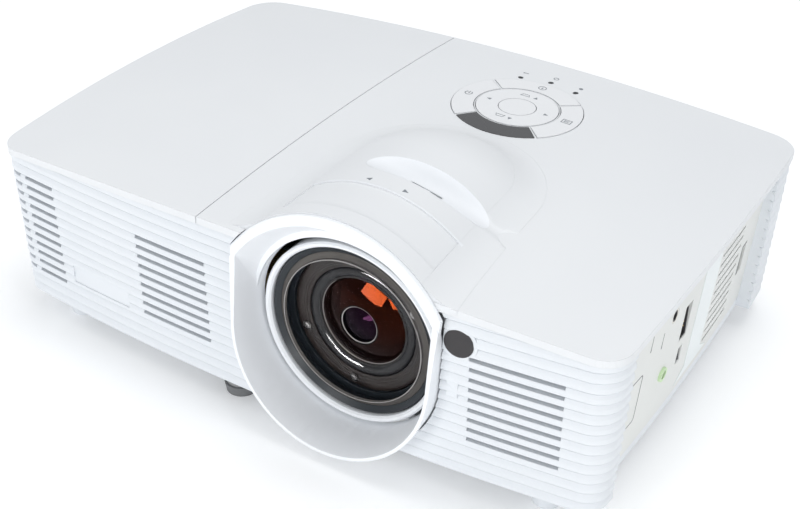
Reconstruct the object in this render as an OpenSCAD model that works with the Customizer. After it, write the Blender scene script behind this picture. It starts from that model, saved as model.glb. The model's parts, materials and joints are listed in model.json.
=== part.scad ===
// Short-throw projector, standing on its feet, lens towards -Y, connector side towards +X.
// The origin lies on the standing surface, under the middle of the body's bounding box.

/* [Casing] */
// Overall width of the casing, between the middles of its bowed sides
body_w = 314; // [290:1:340]
// Depth of the casing from the middle of its bowed front to its rear wall
body_d = 215.3; // [200:1:235]
// Height of the casing's underside above the surface
body_lift = 11.4; // [9:0.2:14]
// Height of the top's crown above the surface, at the middle of the casing
crown_z = 99; // [94:0.5:104]
// Radius of the gently domed top
crown_r = 1520; // [1200:10:2500]
// How far the front bows forward between its corners
front_bow = 9.7; // [4:0.1:14]
// How far each side bows outward between its corners
side_bow = 3; // [1:0.1:6]
// Radius of the casing's upright corners
corner_r = 14; // [12:0.5:20]
// Thickness of the moulded walls
wall = 2.6; // [2:0.1:3]
// Height of the top covers' visible edge
cover_edge = 3.4; // [2.5:0.1:5]
// Gap between two covers that meet
seam = 0.4; // [0.2:0.1:0.8]
// X of the seam between the lamp cover and the top cover
seam_x = -32; // [-45:1:-22]

/* [Ribs and vents] */
// Height from one rib to the next
rib_pitch = 5.05; // [4.5:0.05:6]
// Depth of the ribs
rib_depth = 2.2; // [1.2:0.1:2.6]
// How far the ribbed walls lean in from the top to the underside
wall_lean = 3.2; // [1:0.1:5]
// Height of one vent slot
slot_h = 2.3; // [1.8:0.1:2.8]
// Depth of the vent vanes behind the wall
vane_d = 4.5; // [3:0.5:7]
// Length of the front vents' slots
vent_w = 39; // [30:1:45]

/* [Lens] */
// X of the lens axis
lens_x = 34.7; // [25:0.5:40]
// Height of the lens axis
lens_z = 53.6; // [50:0.2:57]
// Radius of the lens surround's rim below the axis
rim_r = 46.3; // [44:0.1:48]
// Radius of the dome over the lens
dome_r = 59.8; // [56:0.1:62]
// How far the rim's lowest point reaches in front of the casing's front
rim_reach = 8.7; // [6:0.1:12]
// Width of the rim's front band
rim_band = 4.8; // [3.5:0.1:6]
// How far the focus ring's face lies behind the rim's foremost point
ring_setback = 21.5; // [18:0.5:25]
// Outer radius of the white focus ring
focus_r = 42.6; // [41:0.1:43.5]
// Outer radius of the black trim ring
trim_r = 39.6; // [38:0.1:40]
// Radius of the front lens
glass_r = 36.6; // [34:0.1:37]
// Lean of the rim, its foot forward, in degrees
rim_lean = 6; // [3:0.5:8]
// Turn of the focus ring to each side, in degrees
focus_turn = 5; // [3:0.5:6]

/* [Keypad] */
// X of the keypad's centre
keypad_x = 35; // [28:1:45]
// Y of the keypad's centre, from the middle of the casing's corners
keypad_y = 44; // [36:1:50]
// Outer radius of the ring of keys
keypad_r = 31; // [29:0.5:33]
// Outer radius of the direction pad
pad_r = 19.5; // [18:0.5:20.5]
// Radius of the key in the middle
enter_r = 8.8; // [7:0.2:10]
// Travel of every key
key_travel = 0.8; // [0.5:0.1:1]
// Clearance round every key
key_gap = 0.35; // [0.3:0.05:0.5]

/* [Feet] */
// Radius of a foot's rubber pad
foot_r = 8; // [6:0.5:10]
// Travel of an adjustable foot
foot_travel = 8; // [4:0.5:10]
// Thread pitch of the feet
foot_pitch = 1.5; // [1:0.1:2]

/* [Hidden] */
e = 0.02;

// Colours as seen in the photograph
white = [0.94, 0.95, 0.96];
shell_white = [0.90, 0.91, 0.92];
panel_grey = [0.84, 0.85, 0.84];
foot_grey = [0.55, 0.56, 0.57];
black = [0.12, 0.13, 0.14];
metal = [0.72, 0.73, 0.75];
board_green = [0.10, 0.38, 0.22];
glass_tint = [0.30, 0.25, 0.22];

// Plan of the casing: one wide arc in front, one on each side, a straight rear and four round corners
total_d = body_d + rim_reach;
rear_y = total_d / 2;
front_y = rear_y - body_d;
corner_x = body_w / 2 - side_bow;
corner_y = front_y + front_bow;
mid_y = (rear_y + corner_y) / 2;
half_d = (rear_y - corner_y) / 2;
front_arc_r = (corner_x * corner_x + front_bow * front_bow) / (2 * front_bow);
front_c = [0, front_y + front_arc_r];
side_arc_r = (half_d * half_d + side_bow * side_bow) / (2 * side_bow);
side_c = [body_w / 2 - side_arc_r, mid_y];

// The right-hand one of the two points at distance ra from a and rb from b
function meet(a, ra, b, rb) =
    let (d = b - a, l = norm(d), u = d / l, s = (ra * ra - rb * rb + l * l) / (2 * l))
    let (h = sqrt(ra * ra - s * s), p = a + s * u, q = [-u.y, u.x] * h)
    q.x > 0 ? p + q : p - q;

front_corner = meet(front_c, front_arc_r - corner_r, side_c, side_arc_r - corner_r);
rear_corner_y = rear_y - corner_r;
side_reach = side_arc_r - corner_r;
rear_corner = [
    side_c.x + sqrt(side_reach * side_reach - (rear_corner_y - mid_y) * (rear_corner_y - mid_y)),
    rear_corner_y
];
front_half = atan2(front_corner.x, front_c.y - front_corner.y);
side_from = atan2(front_corner.y - mid_y, front_corner.x - side_c.x);
side_to = atan2(rear_corner.y - mid_y, rear_corner.x - side_c.x);
front_fn = 720;
side_fn = 960;
corner_fn = 72;

function arc_points(c, r, from, to, n) = [
    for (i = [0 : n])
        let (a = from + (to - from) * i / n)
            c + r * [cos(a), sin(a)]
];
function right_plan(inset) = concat(
    arc_points(front_c, front_arc_r - inset, -90, -90 + front_half, 12),
    arc_points(front_corner, corner_r - inset, -90 + front_half, side_from, 8),
    arc_points(side_c, side_arc_r - inset, side_from, side_to, 6),
    arc_points(rear_corner, corner_r - inset, side_to, 90, 8)
);
function flip(points) = [for (i = [len(points) - 1 : -1 : 0]) [-points[i].x, points[i].y]];

module plan(inset) {
    polygon(concat(right_plan(inset), flip(right_plan(inset))));
}

// A profile drawn as [-inset, height] swept along one arc of the plan
module arc_sweep(c, r, from, to, fn) {
    translate([c.x, c.y, 0])
        rotate([0, 0, from])
            rotate_extrude(angle = to - from, $fn = fn)
                translate([r, 0])
                    children();
}

module front_sweep(x1, x2) {
    arc_sweep(front_c, front_arc_r, -90 + asin(x1 / front_arc_r), -90 + asin(x2 / front_arc_r), front_fn)
        children();
}

module front_corner_sweep() {
    arc_sweep(front_corner, corner_r, -90 + front_half, side_from, corner_fn)
        children();
}

module rear_corner_sweep() {
    arc_sweep(rear_corner, corner_r, side_to, 90, corner_fn)
        children();
}

// Along the right side, between two distances from the middle of that side
module side_sweep(y1, y2) {
    arc_sweep(side_c, side_arc_r, asin((y1 - mid_y) / side_arc_r), asin((y2 - mid_y) / side_arc_r), side_fn)
        children();
}

module rear_sweep(x1, x2) {
    translate([x1, rear_y, 0])
        rotate([90, 0, 90])
            linear_extrude(x2 - x1)
                children();
}

// The arcs stop a hair short of one another, and small posts inside the wall tie them together
hair = 0.02;
side_start = side_c.y + side_arc_r * sin(side_from) + hair;
side_end = side_c.y + side_arc_r * sin(side_to) - hair;
front_end = front_arc_r * sin(front_half) - hair;
rear_end = rear_corner.x - hair;
tie_r = 1.6;
tie_in = 7.2;
front_tie = front_c + (front_arc_r - tie_in) * [sin(front_half), -cos(front_half)];
side_start_tie = side_c + (side_arc_r - tie_in) * [cos(side_from), sin(side_from)];
side_end_tie = side_c + (side_arc_r - tie_in) * [cos(side_to), sin(side_to)];
rear_tie = [rear_corner.x, rear_y - tie_in];
module tie(p, z1, z2) {
    translate([p.x, p.y, z1])
        cylinder(r = tie_r, h = z2 - z1, $fn = 32);
}

// Ribs: a flat underside, a blunt tip and a rounded back that runs up into the next valley
rib_rows = ceil((crown_z - body_lift) / rib_pitch);
function rib_z(i) = body_lift + i * rib_pitch;
function lean(z) = wall_lean * (crown_z - z) / (crown_z - body_lift);
rib_curve = [[0.04, 0], [0, 0.12], [0.12, 0.45], [0.42, 0.78], [1, 1]];
function rib_outline() = [
    for (i = [0 : rib_rows - 1])
        for (p = rib_curve)
            let (z = rib_z(i) + p.y * rib_pitch)
                [-lean(z) - p.x * rib_depth, z]
];
wall_in = wall_lean + rib_depth + wall;
// Inner faces of the front wall at x, and of the rear and side walls
function front_in(x) = front_c.y - sqrt(front_arc_r * front_arc_r - x * x) + wall_in;
rear_in = rear_y - wall_in;
side_in = body_w / 2 - wall_in;
module rib_profile() {
    polygon(concat(rib_outline(), [[-wall_in, rib_z(rib_rows)], [-wall_in, body_lift]]));
}

module band(in1, in2, z1, z2) {
    translate([-in2, z1])
        square([in2 - in1, z2 - z1]);
}

// Everything under the domed top, lowered by drop
module under_crown(drop) {
    translate([0, mid_y, 0])
        rotate_extrude($fn = 180)
            intersection() {
                translate([0, crown_z - crown_r - drop])
                    circle(r = crown_r, $fn = 2400);
                square([body_w * 0.7, crown_z + 5]);
            }
}

// Outline of the lens surround, seen from the front, round the lens axis
dome_skin = 2.4;
rim_lip = 1.6;
module rim_outline(lower_r, side_grow, upper_r) {
    circle(r = lower_r, $fn = 96);
    intersection() {
        circle(r = upper_r, $fn = 120);
        polygon([[-lower_r, 0], [lower_r, 0], [lower_r + side_grow, dome_r], [-lower_r - side_grow, dome_r]]);
    }
}

// Stands a front-view outline upright, so that its thickness runs to the rear from y
module upright(y, depth) {
    translate([lens_x, y + depth, lens_z])
        rotate([90, 0, 0])
            linear_extrude(depth)
                children();
}

rim_foot = lens_z - rim_r - rim_lip;
module leaning_slice(depth) {
    translate([lens_x, -total_d / 2, rim_foot])
        rotate([-rim_lean, 0, 0])
            translate([0, depth, lens_z - rim_foot])
                rotate([90, 0, 0])
                    linear_extrude(depth)
                        children();
}

// The space in front of the leaning rim
module before_rim(back = 0) {
    translate([lens_x, -total_d / 2 + back, rim_foot])
        rotate([-rim_lean, 0, 0])
            translate([-body_w, -body_w, -body_w])
                cube([2 * body_w, body_w, 3 * body_w]);
}

ring_y = -total_d / 2 + ring_setback;
ring_gap = 1.4;
flange_r = rim_r + rim_lip + 2.5;
flange_t = 1.5;
// Behind the bezel's wall, where that bows furthest back beside the surround
flange_y = front_in(lens_x + flange_r) + 0.15;
module surround_outer(grow) {
    hull() {
        leaning_slice(1)
            rim_outline(rim_r + rim_lip + grow, rim_band - rim_lip, dome_r - dome_skin - 0.2 + grow);
        upright(ring_y + 1, 2)
            circle(r = focus_r + ring_gap + 2.4 + grow, $fn = 96);
    }
}
// Rounded front edge of the surround, which also covers the dome's front edge
bead_t = 2.4;
bead_round = 0.7;
module rim_bead() {
    hull() {
        leaning_slice(bead_t)
            rim_outline(rim_r + rim_lip - bead_round, rim_band - rim_lip, dome_r - bead_round);
        translate([0, bead_round, 0])
            leaning_slice(bead_t - bead_round)
                rim_outline(rim_r + rim_lip, rim_band - rim_lip, dome_r);
    }
}
module surround_inner() {
    hull() {
        translate([0, -1, 0])
            leaning_slice(1)
                rim_outline(rim_r, 0.6, dome_r - dome_skin - 1.8);
        upright(ring_y + 1, 4)
            circle(r = focus_r + ring_gap, $fn = 96);
    }
}

// The dome over the lens: a lying cylinder round the lens axis with a round end
dome_end_y = -26;
module dome(skin) {
    translate([lens_x, dome_end_y, lens_z])
        rotate([90, 0, 0])
            rotate_extrude($fn = 144) {
                square([dome_r - skin, dome_end_y + total_d / 2 + 10]);
                intersection() {
                    circle(r = dome_r - skin, $fn = 144);
                    translate([0, -dome_r])
                        square([dome_r, dome_r + 1]);
                }
            }
}

// Places on the right side
bezel_end = side_start + 5;
rear_start = side_end - 18;
io_top_in = 4.5;
io_foot_in = 10;
io_top_z = crown_z - 9;
function io_in(z) = io_foot_in + (io_top_in - io_foot_in) * (z - body_lift) / (io_top_z - body_lift);
module io_profile(z1, z2, out = 0) {
    polygon([
        [-io_in(z1) + out, z1],
        [-io_in(z2) + out, z2],
        [-io_in(z2) - wall, z2],
        [-io_in(z1) - wall, z1]
    ]);
}
// Face of the connector panel at a height, at distance y along the side
function io_x(y, z) =
    let (r = side_arc_r - io_in(z))
        side_c.x + sqrt(r * r - (y - mid_y) * (y - mid_y));

floor_t = 3;
floor_top = body_lift + floor_t;
case_row = 1;
module ribs(first, last) {
    intersection() {
        rib_profile();
        translate([-2 * wall_in, rib_z(first)])
            square([3 * wall_in, rib_z(last) - rib_z(first)]);
    }
}

slot_lip = 0.06;
// One slot's section, from in front of the ribs to behind the vanes, or only through the wall
module slot(row, depth) {
    band(-1, wall_in + depth + 1, rib_z(row) - slot_h, rib_z(row) - slot_lip);
}
module vanes(first, last) {
    band(wall_in - e, wall_in + vane_d, rib_z(first) - slot_h - 1.8, rib_z(last) + 1.5);
}

vent_first = 4;
vent_last = 12;
corner_vent_first = 3;
corner_vent_last = 13;
left_vent_x = -70;
right_vent_x = 95;
corner_vent_x = -139;
corner_vent_w = 18;
ir_x = 90.6;
ir_z = 76.8;
ir_r = 6.3;
ir_t = 4;
ir_in = lean(ir_z) - 0.1;
badge_x = -114;
badge_w = 35;
badge_z = 28.3;
badge_h = 9.2;

function front_at(x) = front_c.y - sqrt(front_arc_r * front_arc_r - x * x);
module at_front(x, z, inset) {
    translate([front_c.x, front_c.y, z])
        rotate([0, 0, asin(x / front_arc_r)])
            translate([0, -front_arc_r + inset, 0])
                rotate([-90, 0, 0])
                    children();
}

module lens_opening(clear, depth) {
    upright(-total_d / 2 - 5, depth)
        rim_outline(rim_r + rim_lip + clear, rim_band - rim_lip, dome_r + clear);
}

mount_x = 80;
mount_y1 = -45;
mount_y2 = 65;
mount_points = [[-mount_x, mount_y1], [mount_x, mount_y1], [-mount_x, mount_y2], [mount_x, mount_y2]];
mount_hole_r = 2;
mount_depth = 9;
foot_in = [27, 24];
front_foot_in = [32, 23.3];
elevator_at = [-24, front_y + 15.3];
rear_right_at = [body_w / 2 - foot_in.x, rear_y - foot_in.y];
rear_left_at = [-rear_right_at.x, rear_right_at.y];
front_feet_at = [for (s = [1, -1]) [s * (body_w / 2 - front_foot_in.x), front_y + front_foot_in.y]];
screw_r = 3;
screw_clear = 0.05;
boss_h = 12;
foot_points = [elevator_at, rear_right_at, rear_left_at];

// Posts that carry the inner pieces: position, radius and top
engine_z = 22;
lamp_z = 24;
supply_z = 22;
ballast_z = 20;
engine_posts = [[-2, -12], [66, -12], [-2, 34], [66, 34]];
lamp_posts = [[-104, -14], [-58, -14], [-104, 34], [-58, 34]];
supply_w = 138;
supply_d = 30;
supply_at = [-76, rear_in - 1 - supply_d];
supply_posts = [
    for (x = [4, supply_w - 4])
        for (y = [3, supply_d - 3])
            supply_at + [x, y]
];
ballast_posts = [[-64, -30], [-24, -30], [-64, -56], [-24, -56]];
// Pillars under the two covers
pillar_points = [
    [-side_in + 8, front_y + 48],
    [-side_in + 8, rear_y - 57],
    [-112, rear_y - 42],
    [-46, front_y + 37],
    [84, front_y + 25],
    [90, rear_y - 22],
    [-10, rear_y - 46],
    [84, 20]
];
pillar_r = 4;
// Screws from below, each into a tab of the bezel or the rear panel
case_screw_in = 4.6;
case_screw_front = [for (x = [-58, 100]) [x, front_in(x) + case_screw_in]];
case_screw_rear = [for (x = [-116, 100]) [x, rear_in - 5.5]];
screw_head_r = 2.8;
screw_head_h = 1.6;
thread_r = 1.5;
tab_r = 3.5;
tab_h = 8;
module screw_tab(p, reach) {
    difference() {
        union() {
            translate([p.x, p.y, floor_top])
                cylinder(r = tab_r, h = tab_h, $fn = 32);
            translate([p.x - tab_r, min(p.y, p.y + reach), rib_z(case_row) + 0.1])
                cube([2 * tab_r, abs(reach), floor_top + tab_h - rib_z(case_row) - 0.1]);
        }
        translate([p.x, p.y, floor_top - 1])
            cylinder(r = thread_r, h = tab_h - 1, $fn = 32);
    }
}
post_r = 4;
module posts(points, top) {
    for (p = points)
        translate([p.x, p.y, floor_top - e])
            cylinder(r = post_r, h = top - floor_top + e, $fn = 32);
}

// The floor reaches a little into the walls all round
floor_in = wall_in - 0.6;
function between(c, r, from, to, n) = [
    for (i = [0.5 : n])
        let (a = from + (to - from) * i / n)
            c + r * [cos(a), sin(a)]
];
module floor_plan() {
    half = concat(
        between(front_c, front_arc_r - floor_in, -90, -90 + front_half, 12),
        between(front_corner, corner_r - floor_in, -90 + front_half, side_from, 8),
        between(side_c, side_arc_r - floor_in, side_from, side_to, 6),
        between(rear_corner, corner_r - floor_in, side_to, 90, 8)
    );
    polygon(concat(half, flip(half)));
}

// Room for the lens surround in the floor and the lowest rib
module lens_room() {
    upright(-total_d / 2 - 5, 5 + ring_setback + 12)
        circle(r = rim_r + rim_lip + 0.3, $fn = 96);
    upright(ring_y, sleeve_end + 1)
        circle(r = sleeve_r + sleeve_t + 1, $fn = 96);
}

module lowest_rib() {
    front_sweep(-front_end, front_end)
        ribs(0, case_row);
    for (s = [0, 1])
        mirror([s, 0, 0]) {
            front_corner_sweep()
                ribs(0, case_row);
            rear_corner_sweep()
                ribs(0, case_row);
        }
    mirror([1, 0, 0])
        side_sweep(side_start, side_end)
            ribs(0, case_row);
    side_sweep(side_start, bezel_end)
        ribs(0, case_row);
    side_sweep(rear_start, side_end)
        ribs(0, case_row);
    rear_sweep(-rear_end, rear_end)
        ribs(0, case_row);
}

module bottom_case() {
    color(white)
        difference() {
            union() {
                difference() {
                    lowest_rib();
                    lens_room();
                }
                difference() {
                    translate([0, 0, body_lift])
                        linear_extrude(floor_t)
                            floor_plan();
                    side_sweep(bezel_end - 1, rear_start + 1)
                        band(-1, io_foot_in + 0.5, 0, crown_z);
                    lens_room();
                }
                side_sweep(bezel_end + hair, rear_start - hair)
                    io_profile(body_lift, rib_z(case_row));
                // Stops that close the ribbed corners beside the connector panel
                for (y = [bezel_end - wall, rear_start + hair])
                    side_sweep(y, y + wall - hair)
                        band(wall_lean + rib_depth, io_foot_in + wall, body_lift, rib_z(case_row));
                for (p = mount_points)
                    translate([p.x, p.y, floor_top - e])
                        cylinder(r = 5, h = mount_depth, $fn = 32);
                for (p = foot_points)
                    translate([p.x, p.y, floor_top - e])
                        cylinder(r = 6, h = boss_h, $fn = 32);
                posts(engine_posts, engine_z);
                posts(lamp_posts, lamp_z);
                posts(supply_posts, supply_z);
                posts(ballast_posts, ballast_z);
                intersection() {
                    under_crown(cover_edge);
                    for (p = pillar_points)
                        translate([p.x, p.y, floor_top - e])
                            cylinder(r = pillar_r, h = crown_z - floor_top, $fn = 32);
                }
            }
            for (p = concat(case_screw_front, case_screw_rear))
                translate([p.x, p.y, body_lift]) {
                    translate([0, 0, -1])
                        cylinder(r = screw_head_r + 0.1, h = 1 + screw_head_h, $fn = 32);
                    cylinder(r = thread_r + 0.2, h = floor_t + 1, $fn = 32);
                }
            for (p = engine_posts)
                translate([p.x, p.y, engine_z - 5])
                    cylinder(r = thread_r, h = 6, $fn = 32);
            for (p = mount_points)
                translate([p.x, p.y, body_lift - 1])
                    cylinder(r = mount_hole_r, h = mount_depth + 1, $fn = 32);
            for (p = foot_points)
                translate([p.x, p.y, body_lift - 1])
                    cylinder(r = screw_r + screw_clear, h = boss_h + floor_t + 2, $fn = 48);
            // Air slots under the lamp blower and the engine
            for (i = [0 : 4])
                translate([-46 + i * 7, 44, body_lift - 1])
                    cube([3, 26, floor_t + 2]);
        }
}

// Yoke over the lens that keeps both halves of the bezel together
yoke_r = 49;
yoke_w = 3;
yoke_y = flange_y + flange_t + 0.2;
yoke_t = 4;
yoke_block = 5;
module yoke() {
    upright(yoke_y, yoke_t)
        difference() {
            circle(r = yoke_r + yoke_w, $fn = 120);
            circle(r = yoke_r, $fn = 120);
            translate([-body_w, -2 * body_w - 4])
                square([2 * body_w, 2 * body_w]);
        }
    // Blocks at its two ends, which carry it on the bezel's wall
    for (s = [-1, 1])
        translate([lens_x + s * (flange_r + 0.5 + yoke_block / 2) - yoke_block / 2, flange_y - 6, lens_z - 4])
            cube([yoke_block, yoke_y + yoke_t - flange_y + 6, 8]);
}

module front_bezel() {
    color(white)
        yoke();
    color(white)
        difference() {
            intersection() {
                union() {
                    front_sweep(-front_end, front_end)
                        ribs(case_row, rib_rows);
                    for (s = [0, 1])
                        mirror([s, 0, 0])
                            front_corner_sweep()
                                ribs(case_row, rib_rows);
                    side_sweep(side_start, bezel_end)
                        ribs(case_row, rib_rows);
                    side_sweep(bezel_end - wall, bezel_end - hair)
                        band(wall_lean + rib_depth, io_foot_in + wall, rib_z(case_row), crown_z);
                    front_sweep(left_vent_x - 2, left_vent_x + vent_w + 2)
                        vanes(vent_first, vent_last);
                    front_sweep(right_vent_x - 2, right_vent_x + vent_w + 2)
                        vanes(vent_first, vent_last - 1);
                    front_sweep(corner_vent_x - 1, corner_vent_x + corner_vent_w + 2)
                        vanes(corner_vent_first, corner_vent_last);
                    front_sweep(badge_x, badge_x + badge_w)
                        band(lean(badge_z) + 0.7, wall_in, badge_z, badge_z + badge_h);
                    at_front(ir_x, ir_z, lean(ir_z) + 0.2)
                        cylinder(r = ir_r + 1.6, h = wall_in - lean(ir_z), $fn = 48);
                    for (p = case_screw_front)
                        screw_tab(p, -tab_r - 3);
                    for (p = [front_tie, [-front_tie.x, front_tie.y], side_start_tie])
                        tie(p, rib_z(case_row) + 0.6, crown_z);
                }
                under_crown(cover_edge + seam);
            }
            lens_opening(0.1, 60);
            for (row = [vent_first : vent_last]) {
                front_sweep(left_vent_x, left_vent_x + vent_w)
                    slot(row, vane_d);
                front_sweep(right_vent_x, right_vent_x + vent_w)
                    slot(row, vane_d);
            }
            for (row = [corner_vent_first : corner_vent_last]) {
                front_sweep(corner_vent_x, corner_vent_x + corner_vent_w)
                    slot(row, vane_d);
                mirror([1, 0, 0])
                    arc_sweep(front_corner, corner_r, -89.7 + front_half, -20, corner_fn)
                        slot(row, 0);
            }
            // The badge's shallow pocket stays bare
            front_sweep(badge_x, badge_x + badge_w)
                band(-1, lean(badge_z) + 0.7, badge_z, badge_z + badge_h);
            at_front(ir_x, ir_z, -1)
                cylinder(r = ir_r, h = 1 + ir_in + ir_t, $fn = 64);
            at_front(ir_x, ir_z, -1)
                cylinder(r = ir_r - 1.5, h = 2 * wall_in, $fn = 48);
        }
}

left_rows_first = 3;
left_rows_last = 13;
left_groups = [[-62, -8], [4, 58]];
module left_panel() {
    color(white)
        difference() {
            intersection() {
                mirror([1, 0, 0])
                    side_sweep(side_start, side_end)
                        ribs(case_row, rib_rows);
                under_crown(cover_edge + seam);
            }
            mirror([1, 0, 0])
                for (row = [left_rows_first : left_rows_last])
                    for (g = left_groups)
                        side_sweep(g.x, g.y)
                            slot(row, 0);
        }
}

inlet_x = -92;
inlet_z = 36;
inlet_w = 27;
inlet_h = 19.5;
rear_groups = [[-60, -8], [0, 52], [60, 112]];
module rear_panel() {
    color(white)
        difference() {
            intersection() {
                union() {
                    rear_sweep(-rear_end, rear_end)
                        ribs(case_row, rib_rows);
                    for (s = [0, 1])
                        mirror([s, 0, 0])
                            rear_corner_sweep()
                                ribs(case_row, rib_rows);
                    side_sweep(rear_start, side_end)
                        ribs(case_row, rib_rows);
                    side_sweep(rear_start + hair, rear_start + wall)
                        band(wall_lean + rib_depth, io_foot_in + wall, rib_z(case_row), crown_z);
                    // Flat frame round the power inlet
                    translate([inlet_x - inlet_w / 2 - 4, rear_y - wall_in, inlet_z - inlet_h / 2 - 4])
                        cube([inlet_w + 8, wall_in - wall_lean - 0.5, inlet_h + 8]);
                    for (p = case_screw_rear)
                        screw_tab(p, tab_r + 3);
                    for (p = [rear_tie, [-rear_tie.x, rear_tie.y], side_end_tie])
                        tie(p, rib_z(case_row) + 0.6, crown_z);
                }
                under_crown(cover_edge + seam);
            }
            translate([inlet_x - inlet_w / 2, rear_y - 2 * wall_in, inlet_z - inlet_h / 2])
                cube([inlet_w, 3 * wall_in, inlet_h]);
            for (row = [left_rows_first + 2 : left_rows_last - 1])
                for (g = rear_groups)
                    rear_sweep(g.x, g.y)
                        slot(row, 0);
        }
}

// Openings of the connector panel: [y, z, width, height]
video_at = [-11, 58.5, 7.2, 17.4];
service_at = [-10, 40, 4.2, 8.6];
jack_at = [-28, 71];
jack_r = 3.2;
port_clear = 0.15;
bar_at = [64, 48, 5, 14];
bar_x = io_x(bar_at.x, bar_at.y);
pocket_d = 14;
louvre_y = 25;
louvre_w = 30;
louvre_first = 3;
louvre_last = 14;

module port_hole(at, grow) {
    translate([body_w / 2 - 30, at.x - at[2] / 2 - grow, at.y - at[3] / 2 - grow])
        cube([40, at[2] + 2 * grow, at[3] + 2 * grow]);
}

module io_panel() {
    color(panel_grey)
        difference() {
            intersection() {
                union() {
                    side_sweep(bezel_end, rear_start)
                        io_profile(rib_z(case_row), crown_z);
                    // Pocket for the security bar
                    translate([bar_x - pocket_d, bar_at.x - bar_at[2] / 2 - 2, bar_at.y - bar_at[3] / 2 - 2])
                        cube([pocket_d - 1.5, bar_at[2] + 4, bar_at[3] + 4]);
                }
                under_crown(cover_edge + seam);
            }
            translate([bar_x - pocket_d + 2, bar_at.x - bar_at[2] / 2, bar_at.y - bar_at[3] / 2])
                cube([pocket_d + 10, bar_at[2], bar_at[3]]);
            port_hole(video_at, port_clear);
            port_hole(service_at, port_clear);
            translate([body_w / 2 - 30, jack_at.x, jack_at.y])
                rotate([0, 90, 0])
                    cylinder(r = jack_r + port_clear, h = 40, $fn = 48);
            for (row = [louvre_first : louvre_last])
                side_sweep(louvre_y, louvre_y + louvre_w)
                    band(-1, 2 * wall_in, rib_z(row) - slot_h + 0.4, rib_z(row) - 0.4);
        }
}

// Scoop over the focus lever, turned round the lens axis
scoop_y = -49;
scoop_r = 8.8;
scoop_lift = 3.2;
scoop_at = 77.5;
slit_at = 77.5;
slit_half = 7.8;
slit_w = 1.3;
slit_y = -50;
plate_from = 49;
plate_to = 122;
plate_front_y = -90;
plate_rear_y = -69;
plate_d = 0.5;

// A section drawn as [radius, -y], turned round the lens axis from one angle to another
module lens_turn(from, to) {
    translate([lens_x, 0, lens_z])
        rotate([90, 0, 0])
            rotate([0, 0, from])
                rotate_extrude(angle = to - from, $fn = 144)
                    children();
}
// The scoop is part of a wide ring that dips into the dome and leaves it on both sides
scoop_turn_r = 197;
scoop_half = 9.7;
module scoop(r) {
    translate([lens_x, scoop_y, lens_z])
        rotate([0, 90 - scoop_at, 0])
            translate([0, 0, dome_r + scoop_lift - scoop_turn_r])
                rotate([90, 0, 0])
                    rotate([0, 0, 90 - scoop_half])
                        rotate_extrude(angle = 2 * scoop_half, $fn = 240)
                            translate([scoop_turn_r, 0])
                                circle(r = r, $fn = 96);
}

keypad_c = [keypad_x, mid_y + keypad_y];
ring_in = pad_r + 1.2;
module on_keypad(z) {
    translate([keypad_c.x, keypad_c.y, z])
        children();
}
module sector(r1, r2, from, to, z1, z2) {
    on_keypad(z1)
        rotate([0, 0, from])
            rotate_extrude(angle = to - from, $fn = 120)
                translate([r1, 0])
                    square([r2 - r1, z2 - z1]);
}
key_angles = [[-46, 40], [42, 138], [140, 230]];
window_angles = [-128, -48];
key_low = crown_z - cover_edge - 9.2;
light_angles = [65, 90, 115];
light_r = 1;
light_ring_r = 35;
board_top = key_low - 1.4;
board_t = 1.6;
board_half = 39;
board_posts = [[-34, -34], [34, -34], [-34, 34], [34, 34]];

module right_of_seam(gap) {
    translate([seam_x + gap, -body_d, 0])
        cube([body_w, 2 * body_d, 2 * crown_z]);
}

module above(z) {
    translate([-body_w, -body_w, z])
        cube([2 * body_w, 2 * body_w, body_w]);
}

module cover_slab() {
    intersection() {
        translate([0, 0, crown_z - 30])
            linear_extrude(40)
                plan(0);
        difference() {
            under_crown(0);
            under_crown(cover_edge);
        }
    }
}

module top_cover() {
    color(shell_white)
        difference() {
            union() {
                intersection() {
                    cover_slab();
                    right_of_seam(seam / 2);
                }
                intersection() {
                    above(crown_z - 15);
                    difference() {
                        dome(0);
                        under_crown(cover_edge);
                        before_rim(bead_t + 0.12);
                    }
                }
                intersection() {
                    scoop(scoop_r + dome_skin);
                    dome(0.5);
                }
                intersection() {
                    under_crown(cover_edge - 1);
                    for (p = board_posts)
                        on_keypad(board_top)
                            translate([p.x, p.y, 0])
                                cylinder(r = 2.5, h = 20, $fn = 32);
                }
            }
            intersection() {
                above(crown_z - 16);
                difference() {
                    dome(dome_skin);
                    scoop(scoop_r + dome_skin);
                }
            }
            // Room for the surround's bead
            intersection() {
                lens_opening(0.12, 60);
                before_rim(bead_t + 0.1);
            }
            scoop(scoop_r);
            lens_turn(slit_at - slit_half, slit_at + slit_half)
                translate([dome_r - 12, -slit_y - slit_w / 2])
                    square([14, slit_w]);
            lens_turn(plate_from, plate_to)
                translate([dome_r - plate_d, -plate_rear_y])
                    square([5, plate_rear_y - plate_front_y]);
            for (a = key_angles)
                sector(ring_in - key_gap, keypad_r + key_gap, a[0], a[1], crown_z - 14, crown_z + 5);
            sector(ring_in, keypad_r, window_angles[0], window_angles[1], crown_z - 14, crown_z + 5);
            on_keypad(crown_z - 10)
                cylinder(r = pad_r + key_gap, h = 20, $fn = 96);
            for (a = light_angles)
                on_keypad(crown_z - 10)
                    translate([light_ring_r * cos(a), light_ring_r * sin(a), 0])
                        cylinder(r = light_r + 0.05, h = 20, $fn = 24);
        }
}

module lamp_cover() {
    color(shell_white)
        difference() {
            cover_slab();
            right_of_seam(-seam / 2);
        }
}

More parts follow.
